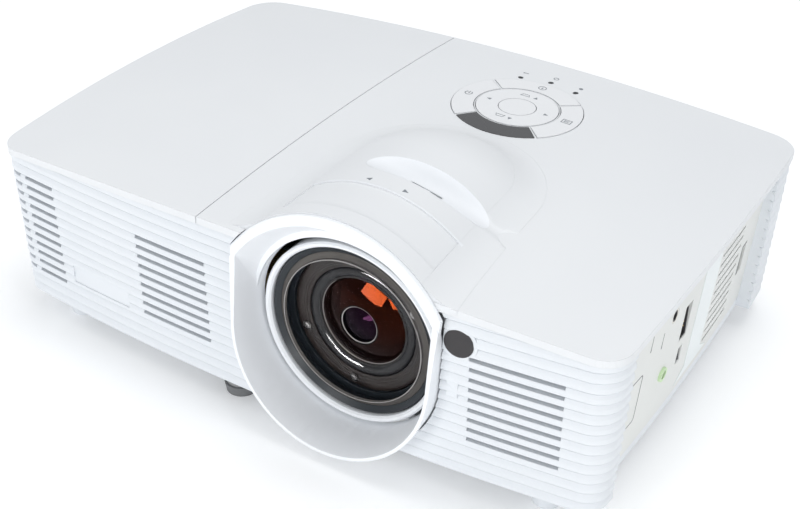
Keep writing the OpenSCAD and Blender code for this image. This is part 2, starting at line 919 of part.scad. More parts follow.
module lens_surround() {
    color(white) {
        difference() {
            union() {
                surround_outer(0);
                rim_bead();
            }
            surround_inner();
        }
        // Flange that rests behind the bezel's wall
        upright(flange_y, flange_t)
            difference() {
                circle(r = flange_r, $fn = 96);
                circle(r = rim_r - 0.6, $fn = 96);
                translate([-body_w, -2 * body_w - rim_r * 0.7])
                    square([2 * body_w, 2 * body_w]);
            }
    }
}

// Turned pieces of the lens: sections drawn as [radius, distance behind the focus ring's face]
module turned() {
    translate([lens_x, ring_y, lens_z])
        rotate([-90, 0, 0])
            rotate_extrude($fn = 144)
                children();
}
ring_clear = 0.3;
focus_depth = 11;
sleeve_end = 46;
sleeve_t = 1.7;
barrel_r = 36;
sleeve_r = barrel_r + ring_clear;
lever_w = 3.5;
lever_t = 0.9;
module focus_ring() {
    color(white) {
        turned()
            polygon([
                [trim_r + ring_clear, 1.2],
                [trim_r + ring_clear + 0.8, 0.3],
                [focus_r - 0.8, 0],
                [focus_r, 0.8],
                [focus_r, focus_depth],
                [sleeve_r + sleeve_t, focus_depth + 1],
                [sleeve_r + sleeve_t, sleeve_end],
                [sleeve_r, sleeve_end],
                [sleeve_r, trim_back + ring_clear],
                [trim_r + ring_clear, trim_back + ring_clear]
            ]);
        // Lever that ends in the scoop's slit
        lens_turn(slit_at - lever_w / 2, slit_at + lever_w / 2)
            translate([sleeve_r + 1, -slit_y - lever_t / 2])
                square([dome_r + scoop_lift - scoop_r - 0.1 - sleeve_r - 1, lever_t]);
    }
}

trim_back = 10;
seat_y = 8.5;
barrel_wall = 3;
module lens_trim_ring() {
    color(black)
        turned()
            polygon([
                [glass_r, 4],
                [trim_r - 0.6, 2.2],
                [trim_r, 2.8],
                [trim_r, trim_back],
                [barrel_r - barrel_wall, trim_back],
                [barrel_r - barrel_wall, seat_y],
                [glass_r, seat_y]
            ]);
}

// Front lens: two round faces, thinner at the edge than in the middle
glass_bulge_r = 76;
glass_hollow_r = 92;
glass_t = 6;
glass_edge_y = 4.2;
function sag(r, curve) = curve - sqrt(curve * curve - r * r);
module meniscus(edge_r, front_curve, rear_curve, vertex_y, t) {
    intersection() {
        translate([0, vertex_y - t])
            square([edge_r, 60]);
        translate([0, vertex_y + front_curve])
            circle(r = front_curve, $fn = 360);
        difference() {
            translate([0, vertex_y - 1])
                square([edge_r, 60]);
            translate([0, vertex_y + t + rear_curve])
                circle(r = rear_curve, $fn = 360);
        }
    }
}
glass_vertex = glass_edge_y - sag(glass_r, glass_bulge_r);
module front_lens() {
    color(glass_tint)
        turned()
            meniscus(glass_r - 0.05, glass_bulge_r, glass_hollow_r, glass_vertex, glass_t);
}

// Barrel with a stop in the middle, and a dark funnel in front that holds the second lens
barrel_len = 74;
tail_r = 28;
baffle_y = 12;
baffle_r = 20.8;
baffle_t = 6;
cell_travel = 0.8;
cell_clear = 0.05;
stop_r = 8;
stop_y = 34;
rear_glass_r = 12;
module lens_barrel() {
    bore = barrel_r - barrel_wall;
    color(black)
        turned()
            polygon([
                [bore, trim_back],
                [barrel_r, trim_back],
                [barrel_r, sleeve_end + 4],
                [tail_r, sleeve_end + 8],
                [tail_r, barrel_len],
                [rear_glass_r, barrel_len],
                [rear_glass_r, stop_y + 2],
                [stop_r, stop_y + 2],
                [stop_r, stop_y],
                [baffle_r, stop_y - 6],
                [baffle_r, baffle_y + baffle_t + cell_travel + 0.2],
                [bore, baffle_y + baffle_t + cell_travel + 0.2]
            ]);
}

// The second lens and its ring slide in the barrel as the focus ring turns
module lens_baffle() {
    bore = barrel_r - barrel_wall - cell_clear;
    color(black)
        turned()
            polygon([
                [bore, baffle_y + 1.5],
                [bore - 2, baffle_y + 1.5],
                [baffle_r + 2, baffle_y - 1],
                [baffle_r, baffle_y - 1],
                [baffle_r, baffle_y + baffle_t],
                [bore, baffle_y + baffle_t]
            ]);
}

module inner_lens() {
    color(glass_tint)
        turned()
            meniscus(baffle_r - 0.05, 42, 90, baffle_y - sag(baffle_r, 42) + 0.5, 6);
}

module rear_lens() {
    color(glass_tint)
        turned()
            meniscus(rear_glass_r, 30, 60, stop_y + 4, 5);
}

module front_ir_window() {
    color(black)
        at_front(ir_x, ir_z, ir_in)
            cylinder(r = ir_r - 0.05, h = ir_t, $fn = 64);
}

// Keys follow the crown, a little proud of it, with a rim under the cover's land
key_proud = 0.3;
module keys_top() {
    intersection() {
        under_crown(-key_proud);
        children();
    }
}
module ring_key(a) {
    color(shell_white)
        keys_top()
            sector(ring_in, keypad_r, a[0] + 0.6, a[1] - 0.6, key_low, crown_z + 5);
}
module power_key() {
    ring_key(key_angles[2]);
}
module menu_key() {
    ring_key(key_angles[0]);
}
module info_key() {
    ring_key(key_angles[1]);
}
module top_ir_window() {
    color(black)
        keys_top()
            sector(ring_in, keypad_r, window_angles[0], window_angles[1], key_low + 0.4, crown_z + 5);
}
module enter_key() {
    color(shell_white)
        keys_top()
            on_keypad(key_low)
                cylinder(r = enter_r, h = 20, $fn = 96);
}
module direction_pad() {
    color(shell_white)
        keys_top()
            on_keypad(key_low)
                difference() {
                    cylinder(r = pad_r, h = 20, $fn = 120);
                    translate([0, 0, -1])
                        cylinder(r = enter_r + key_gap, h = 22, $fn = 96);
                }
    color(shell_white)
        for (s = [-1, 1])
            on_keypad(pivot_top)
                translate([-0.4, s * (pivot_ring_r - 1.5) - 1, 0])
                    cube([0.8, 2, key_low - pivot_top + e]);
}
// Rocking ring: its two feet stand on the board, the pad's two feet stand on it
pivot_ring_r = 14;
pivot_foot_h = 0.5;
pivot_ring_t = 0.5;
pivot_low = board_top + pivot_foot_h;
pivot_top = pivot_low + pivot_ring_t;
module pad_pivot_ring() {
    color(black) {
        on_keypad(pivot_low)
            difference() {
                cylinder(r = pivot_ring_r, h = pivot_ring_t, $fn = 96);
                translate([0, 0, -1])
                    cylinder(r = pivot_ring_r - 3, h = 4, $fn = 96);
            }
        for (s = [-1, 1])
            on_keypad(board_top)
                translate([s * (pivot_ring_r - 1.5) - 1, -0.4, 0])
                    cube([2, 0.8, pivot_foot_h + e]);
    }
}
module status_lights() {
    color([0.85, 0.88, 0.90])
        intersection() {
            under_crown(-0.1);
            for (a = light_angles)
                on_keypad(board_top)
                    translate([light_ring_r * cos(a), light_ring_r * sin(a), 0])
                        cylinder(r = light_r, h = 20, $fn = 24);
        }
}
switch_h = 0.45;
switch_ring = (ring_in + keypad_r) / 2;
switch_points = concat(
    [[0, 0]],
    [for (a = key_angles) switch_ring * [cos((a[0] + a[1]) / 2), sin((a[0] + a[1]) / 2)]]
);
module keypad_board() {
    color(board_green)
        on_keypad(board_top - board_t)
            translate([-board_half, -board_half, 0])
                cube([2 * board_half, 2 * board_half, board_t]);
    // Dome switches under the keys
    color(metal)
        for (s = switch_points)
            on_keypad(board_top - e)
                translate([s.x, s.y, 0])
                    cylinder(r = 2.5, h = switch_h + e, $fn = 32);
}

// Feet: a rubber pad that slides down as its screw turns
pad_h = 5;
collar_h = 3.2;
screw_top = floor_top + boss_h + 2;
module foot_pad(at) {
    color(foot_grey)
        translate([at.x, at.y, 0])
            difference() {
                cylinder(r1 = foot_r - 0.8, r2 = foot_r, h = pad_h, $fn = 64);
                translate([0, 0, pad_h - 2])
                    cylinder(r = screw_r + screw_clear, h = 3, $fn = 48);
            }
}
module foot_screw(at) {
    color(metal)
        translate([at.x, at.y, 0]) {
            translate([0, 0, pad_h - 2 + screw_clear])
                cylinder(r = screw_r, h = screw_top - pad_h + 2, $fn = 48);
            translate([0, 0, pad_h + screw_clear])
                cylinder(r = foot_r - 1, h = collar_h, $fn = 64);
        }
}
module elevator_foot() {
    foot_pad(elevator_at);
}
module elevator_screw() {
    foot_screw(elevator_at);
}
module rear_right_foot() {
    foot_pad(rear_right_at);
}
module rear_right_screw() {
    foot_screw(rear_right_at);
}
module rear_left_foot() {
    foot_pad(rear_left_at);
}
module rear_left_screw() {
    foot_screw(rear_left_at);
}
module front_feet() {
    color([0.86, 0.87, 0.88])
        for (p = front_feet_at)
            translate([p.x, p.y, 0])
                cylinder(r1 = foot_r - 2, r2 = foot_r - 1, h = body_lift, $fn = 64);
}

// Connectors on the main board, each filling its hole in the connector panel
board_x = body_w / 2 - 22;
module connector(at, face, rim, depth) {
    x1 = io_x(at.x, at.y - at[3] / 2) + face;
    difference() {
        translate([board_x, at.x - at[2] / 2, at.y - at[3] / 2])
            cube([x1 - board_x, at[2], at[3]]);
        translate([x1 - depth, at.x - at[2] / 2 + rim, at.y - at[3] / 2 + rim])
            cube([depth + 1, at[2] - 2 * rim, at[3] - 2 * rim]);
    }
}
module video_port() {
    color(black) {
        connector(video_at, -0.2, 0.8, 7);
        translate([board_x + 2, video_at.x - 1.2, video_at.y - video_at[3] / 2 + 2.5])
            cube([io_x(video_at.x, video_at.y) - board_x - 5, 2.4, video_at[3] - 5]);
    }
}
module service_port() {
    color(metal)
        connector(service_at, -0.2, 0.6, 6);
}
module audio_jack() {
    x1 = io_x(jack_at.x, jack_at.y) - 0.2;
    color(black)
        translate([board_x, jack_at.x, jack_at.y])
            rotate([0, 90, 0])
                difference() {
                    cylinder(r = jack_r, h = x1 - board_x, $fn = 48);
                    translate([0, 0, x1 - board_x - 12])
                        cylinder(r = 1.8, h = 13, $fn = 32);
                }
}
main_board_y = [bezel_end + 9.6, rear_start - 24];
main_board_z = [floor_top + 4, 84];
module main_board() {
    color(board_green) {
        translate([board_x - 1.6, main_board_y[0], main_board_z[0]])
            cube([1.6, main_board_y[1] - main_board_y[0], main_board_z[1] - main_board_z[0]]);
        // Feet of the board's bracket on the floor
        for (y = [main_board_y[0], main_board_y[1] - 12])
            translate([board_x - 12, y, floor_top])
                difference() {
                    cube([12, 12, 8]);
                    translate([-1, -1, 2])
                        cube([11.4, 14, 8]);
                }
    }
    color(metal)
        for (c = [[-40, 30, 20], [-4, 30, 26], [34, 34, 18], [-36, 62, 14]])
            translate([board_x - 5.6, c[0] - c[2] / 2, c[1]])
                cube([4, c[2], c[2]]);
}

inlet_depth = 26;
module power_inlet() {
    color(black)
        translate([inlet_x - inlet_w / 2, rear_y - wall_lean - 0.5 - inlet_depth, inlet_z - inlet_h / 2])
            difference() {
                cube([inlet_w, inlet_depth, inlet_h]);
                difference() {
                    translate([2, 6, 2])
                        cube([inlet_w - 4, inlet_depth, inlet_h - 4]);
                    for (p = [[7, 8], [inlet_w / 2, 12], [inlet_w - 7, 8]])
                        translate([p[0] - 1, 5, p[1] - 2])
                            cube([2, 14, 4]);
                }
            }
}

module security_bar() {
    color(metal)
        translate([bar_x - pocket_d / 2, bar_at.x, bar_at.y - bar_at[3] / 2])
            cylinder(r = 1.5, h = bar_at[3], $fn = 32);
}

// Light engine: a cast box behind the barrel, with a flange for the lens and a lid
engine_x = [-6, 72];
engine_y = [ring_y + barrel_len, 38];
tower_x = [4, 60];
tower_top = engine_z + 60;
lid_x = [tower_x[0] - 1, tower_x[1] + 1];
module engine_box(x1, x2, y1, y2, z1, z2) {
    translate([x1, y1, z1])
        cube([x2 - x1, y2 - y1, z2 - z1]);
}
module light_engine() {
    color(metal)
        difference() {
            union() {
                engine_box(engine_x[0], engine_x[1], engine_y[0], engine_y[1], engine_z, engine_z + 8);
                engine_box(tower_x[0], tower_x[1], engine_y[0], engine_y[1], engine_z, tower_top);
                engine_box(lid_x[0], lid_x[1], engine_y[0] + 2, engine_y[1], tower_top - 6, tower_top - 2);
                // Snout that takes the lamp's light
                translate([engine_x[0], beam_y, beam_z])
                    rotate([0, 90, 0])
                        cylinder(r = 9, h = 12, $fn = 64);
            }
            translate([engine_x[0] - 1, beam_y, beam_z])
                rotate([0, 90, 0])
                    cylinder(r = 6, h = 24, $fn = 64);
            translate([lens_x, engine_y[0] - 1, lens_z])
                rotate([-90, 0, 0])
                    cylinder(r = rear_glass_r + 4, h = 24, $fn = 96);
            for (p = engine_posts)
                translate([p.x, p.y, engine_z - 1])
                    cylinder(r = thread_r + 0.1, h = 10, $fn = 32);
        }
}

// Finned sink on the image chip's side of the engine
sink_y = engine_y[1];
sink_half = 30;
sink_z = [28, 78];
sink_d = 20;
fin_t = 1.8;
fin_count = 13;
module chip_heatsink() {
    color(metal) {
        engine_box(lens_x - sink_half, lens_x + sink_half, sink_y, sink_y + 4, sink_z[0], sink_z[1]);
        for (i = [0 : fin_count - 1])
            let (x = lens_x - sink_half + i * (2 * sink_half - fin_t) / (fin_count - 1))
                engine_box(x, x + fin_t, sink_y + 4 - e, sink_y + sink_d, sink_z[0], sink_z[1]);
    }
}

// Lamp's beam runs along X into the engine, through the colour wheel's rim
beam_y = 8;
beam_z = 50;
wheel_x = -24;
wheel_r = 24;
wheel_y = beam_y + 19;
hub_r = 7;
axle_r = 1.5;
module wheel_at(x) {
    translate([x, wheel_y, beam_z])
        rotate([0, 90, 0])
            children();
}
module colour_wheel() {
    color([0.55, 0.60, 0.75])
        wheel_at(wheel_x)
            difference() {
                union() {
                    cylinder(r = wheel_r, h = 1, $fn = 96);
                    translate([0, 0, -2])
                        cylinder(r = hub_r, h = 6, $fn = 64);
                }
                translate([0, 0, -3])
                    cylinder(r = axle_r + 0.05, h = 8, $fn = 32);
            }
}
module colour_wheel_motor() {
    color(metal) {
        wheel_at(wheel_x - 2.6)
            cylinder(r = axle_r, h = 10, $fn = 32);
        wheel_at(wheel_x + 5)
            cylinder(r = hub_r + 2, h = tower_x[0] - wheel_x - 5, $fn = 64);
    }
}

lamp_x = [-108, -54];
lamp_y = [-18, 38];
lamp_top = 80;
reflector_r = 22;
reflector_f = 26;
module lamp_module() {
    color(black)
        difference() {
            engine_box(lamp_x[0], lamp_x[1], lamp_y[0], lamp_y[1], lamp_z, lamp_top);
            engine_box(lamp_x[0] + 3, lamp_x[1] + 1, lamp_y[0] + 3, lamp_y[1] - 3, lamp_z + 3, lamp_top - 3);
            for (i = [0 : 6])
                translate([lamp_x[0] + 8 + i * 6, lamp_y[0] - 1, 34])
                    cube([3, lamp_y[1] - lamp_y[0] + 2, 32]);
        }
    color(metal)
        for (y = [lamp_y[0] + 8, lamp_y[1] - 12])
            engine_box(lamp_x[0] + 12, lamp_x[0] + 18, y, y + 4, lamp_top - e, lamp_top + 4);
}
module lamp_reflector() {
    color([0.85, 0.87, 0.92]) {
        translate([lamp_x[0] + 6, beam_y, beam_z])
            rotate([0, 90, 0])
                rotate_extrude($fn = 96) {
                    difference() {
                        intersection() {
                            translate([0, reflector_f + 10])
                                circle(r = reflector_f + 10, $fn = 120);
                            square([reflector_r, 30]);
                        }
                        translate([0, reflector_f + 12])
                            circle(r = reflector_f + 10, $fn = 120);
                        translate([-1, 18])
                            square([60, 30]);
                    }
                    translate([0, 3 - e])
                        square([4, 17]);
                }
        // Square holder that fills the housing's mouth
        difference() {
            engine_box(lamp_x[1] - 6, lamp_x[1], lamp_y[0] + 3, lamp_y[1] - 3, lamp_z + 3, lamp_top - 3);
            translate([lamp_x[1] - 7, beam_y, beam_z])
                rotate([0, 90, 0])
                    cylinder(r = reflector_r - 2, h = 8, $fn = 96);
        }
    }
}

module small_box(x, y, z, w, d, h) {
    translate([x, y, z])
        cube([w, d, h]);
}
module lamp_ballast() {
    color(board_green)
        small_box(-68, -60, ballast_z, 50, 34, 1.6);
    color([0.75, 0.62, 0.25]) {
        small_box(-64, -56, ballast_z + 1.6 - e, 16, 16, 14);
        small_box(-44, -54, ballast_z + 1.6 - e, 12, 20, 18);
    }
    color(black)
        translate([-26, -50, ballast_z + 1.6 - e])
            cylinder(r = 5, h = 20, $fn = 48);
}

module power_supply() {
    color(board_green)
        small_box(supply_at.x, supply_at.y, supply_z, supply_w, supply_d, 1.6);
    color([0.75, 0.62, 0.25]) {
        small_box(supply_at.x + 42, supply_at.y + 3, supply_z + 1.6 - e, 26, 22, 24);
        small_box(supply_at.x + 82, supply_at.y + 5, supply_z + 1.6 - e, 18, 18, 16);
    }
    color(metal)
        small_box(supply_at.x + 106, supply_at.y + 3, supply_z + 1.6 - e, 3, 24, 32);
    color(black) {
        for (p = [[16, 15, 9, 32], [34, 9, 5, 22], [120, 17, 8, 26]])
            translate([supply_at.x + p[0], supply_at.y + p[1], supply_z + 1.6 - e])
                cylinder(r = p[2], h = p[3], $fn = 48);
    }
}

// Axial fan behind the left front vents
fan_w = 66;
fan_side = 12;
fan_x = -side_in + fan_side + fan_w / 2;
fan_y = front_in(fan_x - fan_w / 2) + vane_d + 2;
fan_z = 51;
fan_t = 18;
fan_hub_r = 14;
module fan_place() {
    translate([fan_x, fan_y, fan_z])
        rotate([-90, 0, 0])
            children();
}
module exhaust_fan_frame() {
    color(black)
        fan_place()
            union() {
                difference() {
                    translate([-fan_w / 2, -fan_w / 2, 0])
                        cube([fan_w, fan_w, fan_t]);
                    translate([0, 0, -1])
                        cylinder(r = fan_w / 2 - 2, h = fan_t + 2, $fn = 120);
                    for (sx = [-1, 1])
                        for (sy = [-1, 1])
                            translate([sx * (fan_w / 2 - 4), sy * (fan_w / 2 - 4), -1])
                                cylinder(r = 1.8, h = fan_t + 2, $fn = 32);
                }
                for (a = [0, 90, 180, 270])
                    rotate([0, 0, a + 20])
                        translate([fan_hub_r - 3, -1.5, fan_t - 2])
                            cube([fan_w / 2 - fan_hub_r + 1.5, 3, 2]);
                translate([0, 0, fan_t - 2])
                    cylinder(r = fan_hub_r, h = 2, $fn = 96);
                translate([0, 0, 6])
                    cylinder(r = 2, h = fan_t - 6, $fn = 32);
                // Foot on the floor
                translate([-fan_w / 2 + 4, fan_w / 2 - 1, 2])
                    cube([fan_w - 8, fan_z - fan_w / 2 - floor_top + 1, 3]);
            }
}
module blade(r1, r2, pitch, from, h) {
    translate([r1, 0, from])
        rotate([pitch, 0, 0])
            translate([0, -h / 2, -0.7])
                cube([r2 - r1, h, 1.4]);
}
module exhaust_fan_rotor() {
    color([0.16, 0.17, 0.18])
        fan_place()
            difference() {
                union() {
                    translate([0, 0, 1.5])
                        cylinder(r = fan_hub_r, h = fan_t - 4.5, $fn = 96);
                    for (i = [0 : 6])
                        rotate([0, 0, i * 360 / 7])
                            blade(fan_hub_r - 1, fan_w / 2 - 3.4, 38, 8, 14);
                }
                translate([0, 0, 5])
                    cylinder(r = 2.05, h = fan_t, $fn = 32);
            }
}

// Blower that draws cool air through the floor slots and pushes it at the lamp
blower_c = [-30, 55];
blower_z = floor_top;
blower_r = 15;
blower_h = 12;
module blower_housing() {
    color(black)
        translate([blower_c.x, blower_c.y, blower_z])
            difference() {
                union() {
                    cylinder(r = blower_r + 2, h = blower_h, $fn = 96);
                    translate([-blower_r - 15, -blower_r - 2, 0])
                        cube([blower_r + 15, blower_r, blower_h]);
                }
                translate([0, 0, 2])
                    cylinder(r = blower_r, h = blower_h - 3.5, $fn = 96);
                translate([-blower_r - 16, -blower_r, 2])
                    cube([blower_r + 16, blower_r - 4, blower_h - 3.5]);
                translate([0, 0, -1])
                    cylinder(r = 9, h = 4, $fn = 64);
            }
    color(metal)
        translate([blower_c.x, blower_c.y, blower_z + 4])
            cylinder(r = 1.5, h = blower_h - 5, $fn = 32);
}
module blower_rotor() {
    color([0.16, 0.17, 0.18])
        translate([blower_c.x, blower_c.y, blower_z + 3])
            difference() {
                union() {
                    cylinder(r = 8, h = blower_h - 6.5, $fn = 64);
                    for (i = [0 : 15])
                        rotate([0, 0, i * 22.5])
                            translate([7, -0.5, 0.5])
                                cube([7, 1, blower_h - 8]);
                }
                translate([0, 0, 0.8])
                    cylinder(r = 1.55, h = blower_h, $fn = 32);
            }
}

speaker_r = 18;
speaker_x = side_in - 35;
speaker_at = [speaker_x, front_in(speaker_x + speaker_r) + vane_d + 0.4, 50];
module speaker() {
    translate(speaker_at)
        rotate([-90, 0, 0]) {
            color(black)
                rotate_extrude($fn = 96)
                    polygon([
                        [0, 4],
                        [5, 3],
                        [12, 1.5],
                        [15, 0],
                        [speaker_r, 0],
                        [speaker_r, 2],
                        [13, 8],
                        [0, 9]
                    ]);
            color(metal)
                translate([0, 0, 9 - e])
                    cylinder(r = 11, h = 8, $fn = 64);
        }
    // Bracket down to the floor
    color(black)
        difference() {
            translate([speaker_at.x - 20, speaker_at.y + 2, floor_top])
                cube([40, 2, speaker_at.z + 16 - floor_top]);
            translate([speaker_at.x, speaker_at.y - 1, speaker_at.z])
                rotate([-90, 0, 0])
                    cylinder(r = 15.5, h = 6, $fn = 64);
        }
}

module screw(length) {
    cylinder(r = screw_head_r, h = screw_head_h, $fn = 32);
    cylinder(r = thread_r, h = length, $fn = 32);
}
module case_screws() {
    color(metal)
        for (p = concat(case_screw_front, case_screw_rear))
            translate([p.x, p.y, body_lift])
                screw(floor_t + 5);
}
module engine_screws() {
    color(metal)
        for (p = engine_posts)
            translate([p.x, p.y, engine_z + 8 + screw_head_h])
                mirror([0, 0, 1])
                    screw(14);
}

bottom_case();
front_bezel();
left_panel();
rear_panel();
io_panel();
top_cover();
lamp_cover();
lens_surround();
focus_ring();
lens_trim_ring();
front_lens();
lens_barrel();
lens_baffle();
inner_lens();
rear_lens();
front_ir_window();
top_ir_window();
power_key();
menu_key();
info_key();
enter_key();
pad_pivot_ring();
direction_pad();
status_lights();
keypad_board();
elevator_foot();
elevator_screw();
rear_right_foot();
rear_right_screw();
rear_left_foot();
rear_left_screw();
front_feet();
video_port();
service_port();
audio_jack();
power_inlet();
security_bar();
main_board();
light_engine();
chip_heatsink();
colour_wheel_motor();
colour_wheel();
lamp_module();
lamp_reflector();
lamp_ballast();
power_supply();
exhaust_fan_frame();
exhaust_fan_rotor();
blower_housing();
blower_rotor();
speaker();
case_screws();
engine_screws();
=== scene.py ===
# %% [markdown]
# # Dressing a short-throw projector
# The imported model already holds every shell, lens, key, fan and board of the projector, each in
# its real place. This lesson gives those pieces their finishes and adds the small things that a
# maker would print, press or clip on afterwards. Nothing of the frame is moved or reshaped, but
# finer glass takes the place of two of its lenses.
#
# ## Step 1: the frame
# All is deselected, because Blender's operators act on everything that is selected.

# %% Load the imported model
import bpy
import json
import math
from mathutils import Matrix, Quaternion, Vector
from mathutils.bvhtree import BVHTree

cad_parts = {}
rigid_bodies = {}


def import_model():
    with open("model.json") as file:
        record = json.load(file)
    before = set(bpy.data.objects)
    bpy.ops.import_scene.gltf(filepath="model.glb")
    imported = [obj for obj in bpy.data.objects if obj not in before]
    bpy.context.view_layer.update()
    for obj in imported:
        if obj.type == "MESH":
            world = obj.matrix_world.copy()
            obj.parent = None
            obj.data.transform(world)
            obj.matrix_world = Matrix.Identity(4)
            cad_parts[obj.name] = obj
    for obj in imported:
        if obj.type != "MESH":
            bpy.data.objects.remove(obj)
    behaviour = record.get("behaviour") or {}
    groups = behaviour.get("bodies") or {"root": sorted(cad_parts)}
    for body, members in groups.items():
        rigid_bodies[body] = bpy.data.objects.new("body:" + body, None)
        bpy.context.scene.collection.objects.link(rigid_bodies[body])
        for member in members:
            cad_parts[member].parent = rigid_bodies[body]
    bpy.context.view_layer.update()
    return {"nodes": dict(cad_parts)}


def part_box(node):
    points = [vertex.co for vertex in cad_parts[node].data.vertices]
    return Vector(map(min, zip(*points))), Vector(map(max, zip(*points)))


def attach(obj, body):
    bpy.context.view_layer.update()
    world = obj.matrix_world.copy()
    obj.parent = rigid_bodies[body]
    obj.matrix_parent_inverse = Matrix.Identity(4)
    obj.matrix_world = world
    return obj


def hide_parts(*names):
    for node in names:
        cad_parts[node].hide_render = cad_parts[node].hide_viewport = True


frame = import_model()
nodes = frame["nodes"]
bpy.ops.object.select_all(action="DESELECT")

# %% [markdown]
# ## Step 2: the camera
# The picture was taken from above the front right corner, with the camera turned a little more
# than one degree about its own axis. A camera's local X points right and its local Z points back
# at the photographer, so the small roll is a turn about that Z.

# %% Camera at the photograph's place
CAMERA_PLACE = Vector((0.2896, -0.4784, 0.3910))
CAMERA_AIM = Vector((0.01756, -0.0217, 0.050))
CAMERA_ROLL = math.radians(1.35)
SENSOR_WIDTH, LENS_LENGTH = 36, 62.62
camera_data = bpy.data.cameras.new("portrait_camera")
camera = bpy.data.objects.new("portrait_camera", camera_data)
bpy.context.scene.collection.objects.link(camera)
camera.rotation_mode = "QUATERNION"
camera.location = CAMERA_PLACE
backwards = (CAMERA_PLACE - CAMERA_AIM).to_track_quat("Z", "Y")
camera.rotation_quaternion = backwards @ Quaternion((0, 0, 1), CAMERA_ROLL)
camera_data.sensor_width = SENSOR_WIDTH
camera_data.lens = LENS_LENGTH
camera_data.clip_start = 0.01
camera_data.dof.use_dof = False
bpy.context.scene.camera = camera
print("camera:", round((CAMERA_PLACE - CAMERA_AIM).length, 4), "m from its aim")

# %% [markdown]
# ## Step 3: floor and light
# The projector stands on a pale sheet under soft studio light. The plain "Standard" view keeps
# whites white. A pale world lights it from all round. A large lamp box hangs over it, two stand in
# front and one at each side, and together they give the form its gentle shading.

# %% Pale floor
bpy.ops.mesh.primitive_plane_add(size=9, location=(0, 0, 0))
floor = bpy.context.object
floor.name = "studio_floor"
floor_paint = bpy.data.materials.new("studio_paper")
floor_paint.use_nodes = True
paper = floor_paint.node_tree.nodes["Principled BSDF"]
paper.inputs["Base Color"].default_value = (0.95, 0.955, 0.96, 1)
paper.inputs["Roughness"].default_value = 0.9
paper.inputs["Specular IOR Level"].default_value = 0.1
paper.inputs["Emission Color"].default_value = (1, 1, 1, 1)
paper.inputs["Emission Strength"].default_value = 0.12
floor.data.materials.append(floor_paint)
bpy.ops.object.select_all(action="DESELECT")
print("floor:", tuple(round(v, 2) for v in floor.dimensions))

# %% Soft world
bpy.context.scene.view_settings.view_transform = "Standard"
bpy.context.scene.view_settings.look = "None"
studio = bpy.data.worlds.new("studio_air")
bpy.context.scene.world = studio
studio.use_nodes = True
air = studio.node_tree.nodes["Background"]
air.inputs["Color"].default_value = (0.95, 0.975, 1.0, 1)
air.inputs["Strength"].default_value = 0.52
print("world strength:", air.inputs["Strength"].default_value)


# %% Lamp boxes
def lamp_box(name, place, aim, width, height, glow, roll=0):
    """A soft box whose face glows evenly: glow is its brightness, whatever its size."""
    data = bpy.data.lights.new(name, "AREA")
    data.shape = "RECTANGLE"
    data.size = width
    data.size_y = height
    data.energy = glow * math.pi * width * height
    box = bpy.data.objects.new(name, data)
    box.location = place
    direction = Vector(aim) - Vector(place)
    box.rotation_mode = "QUATERNION"
    box.rotation_quaternion = direction.to_track_quat("-Z", "Y") @ Quaternion((0, 0, 1), math.radians(roll))
    box.visible_camera = False
    bpy.context.scene.collection.objects.link(box)
    return box


# The lens' axis runs along Y at this x and z, in millimetres.
AXIS_X, AXIS_Z = 34.7, 53.6
LENS_MIDDLE = (AXIS_X / 1000, -0.085, AXIS_Z / 1000)
lamp_box("box_over", (0.15, 0.25, 1.5), (0, 0, 0.05), 1.2, 0.9, 2.75)
lamp_box("box_front_left", (-0.25, -1.31, 0.39), LENS_MIDDLE, 0.40, 0.50, 6.2)
lamp_box("box_front_right", (0.572, -1.24, 0.32), LENS_MIDDLE, 0.22, 0.55, 6)
lamp_box("box_right", (1.35, -0.35, 0.75), (0.12, 0, 0.05), 0.7, 0.8, 1.9)
lamp_box("box_left", (-1.2, -0.25, 0.8), (0, 0, 0.05), 0.5, 0.6, 3)

# %% [markdown]
# ## Step 4: how a moulded finish is made
# Moulded plastic is never one flat colour. The mould's steel is spark-eroded, so the skin carries
# a very fine grain that breaks up the light. Its colour drifts a little over a hand's width, and
# its gloss changes where the plastic flowed. So each finish here has three layers of noise on the
# piece's own coordinates: a slow drift of colour, a middle-sized change of roughness, and a fine
# grain as bump. A Bevel node rounds the edges for the light, as the mould's edges are rounded.


# %% Helpers for wiring a finish
def link(tree, source, target):
    tree.links.new(source, target)


def add(tree, kind, **settings):
    made = tree.nodes.new(kind)
    for name, value in settings.items():
        if name in made.inputs:
            made.inputs[name].default_value = value
        else:
            setattr(made, name, value)
    return made


def new_finish(name):
    """An empty finish: the material, its node tree and its main shader."""
    made = bpy.data.materials.new(name)
    made.use_nodes = True
    return made, made.node_tree, made.node_tree.nodes["Principled BSDF"]


def noise_of(tree, place, scale, detail=3.0, roughness=0.5):
    made = add(tree, "ShaderNodeTexNoise", Scale=scale, Detail=detail, Roughness=roughness)
    link(tree, place.outputs["Object"], made.inputs["Vector"])
    return made


def between(tree, source, low, high):
    made = add(tree, "ShaderNodeMapRange")
    made.inputs["From Min"].default_value = 0.3
    made.inputs["From Max"].default_value = 0.7
    made.inputs["To Min"].default_value = low
    made.inputs["To Max"].default_value = high
    link(tree, source, made.inputs["Value"])
    return made.outputs["Result"]


def ramp_of(tree, source, dark, pale, low=0.3, high=0.7):
    made = add(tree, "ShaderNodeValToRGB")
    made.color_ramp.elements[0].position = low
    made.color_ramp.elements[0].color = (*dark, 1)
    made.color_ramp.elements[1].position = high
    made.color_ramp.elements[1].color = (*pale, 1)
    link(tree, source, made.inputs["Fac"])
    return made.outputs["Color"]


print("finish helpers ready")


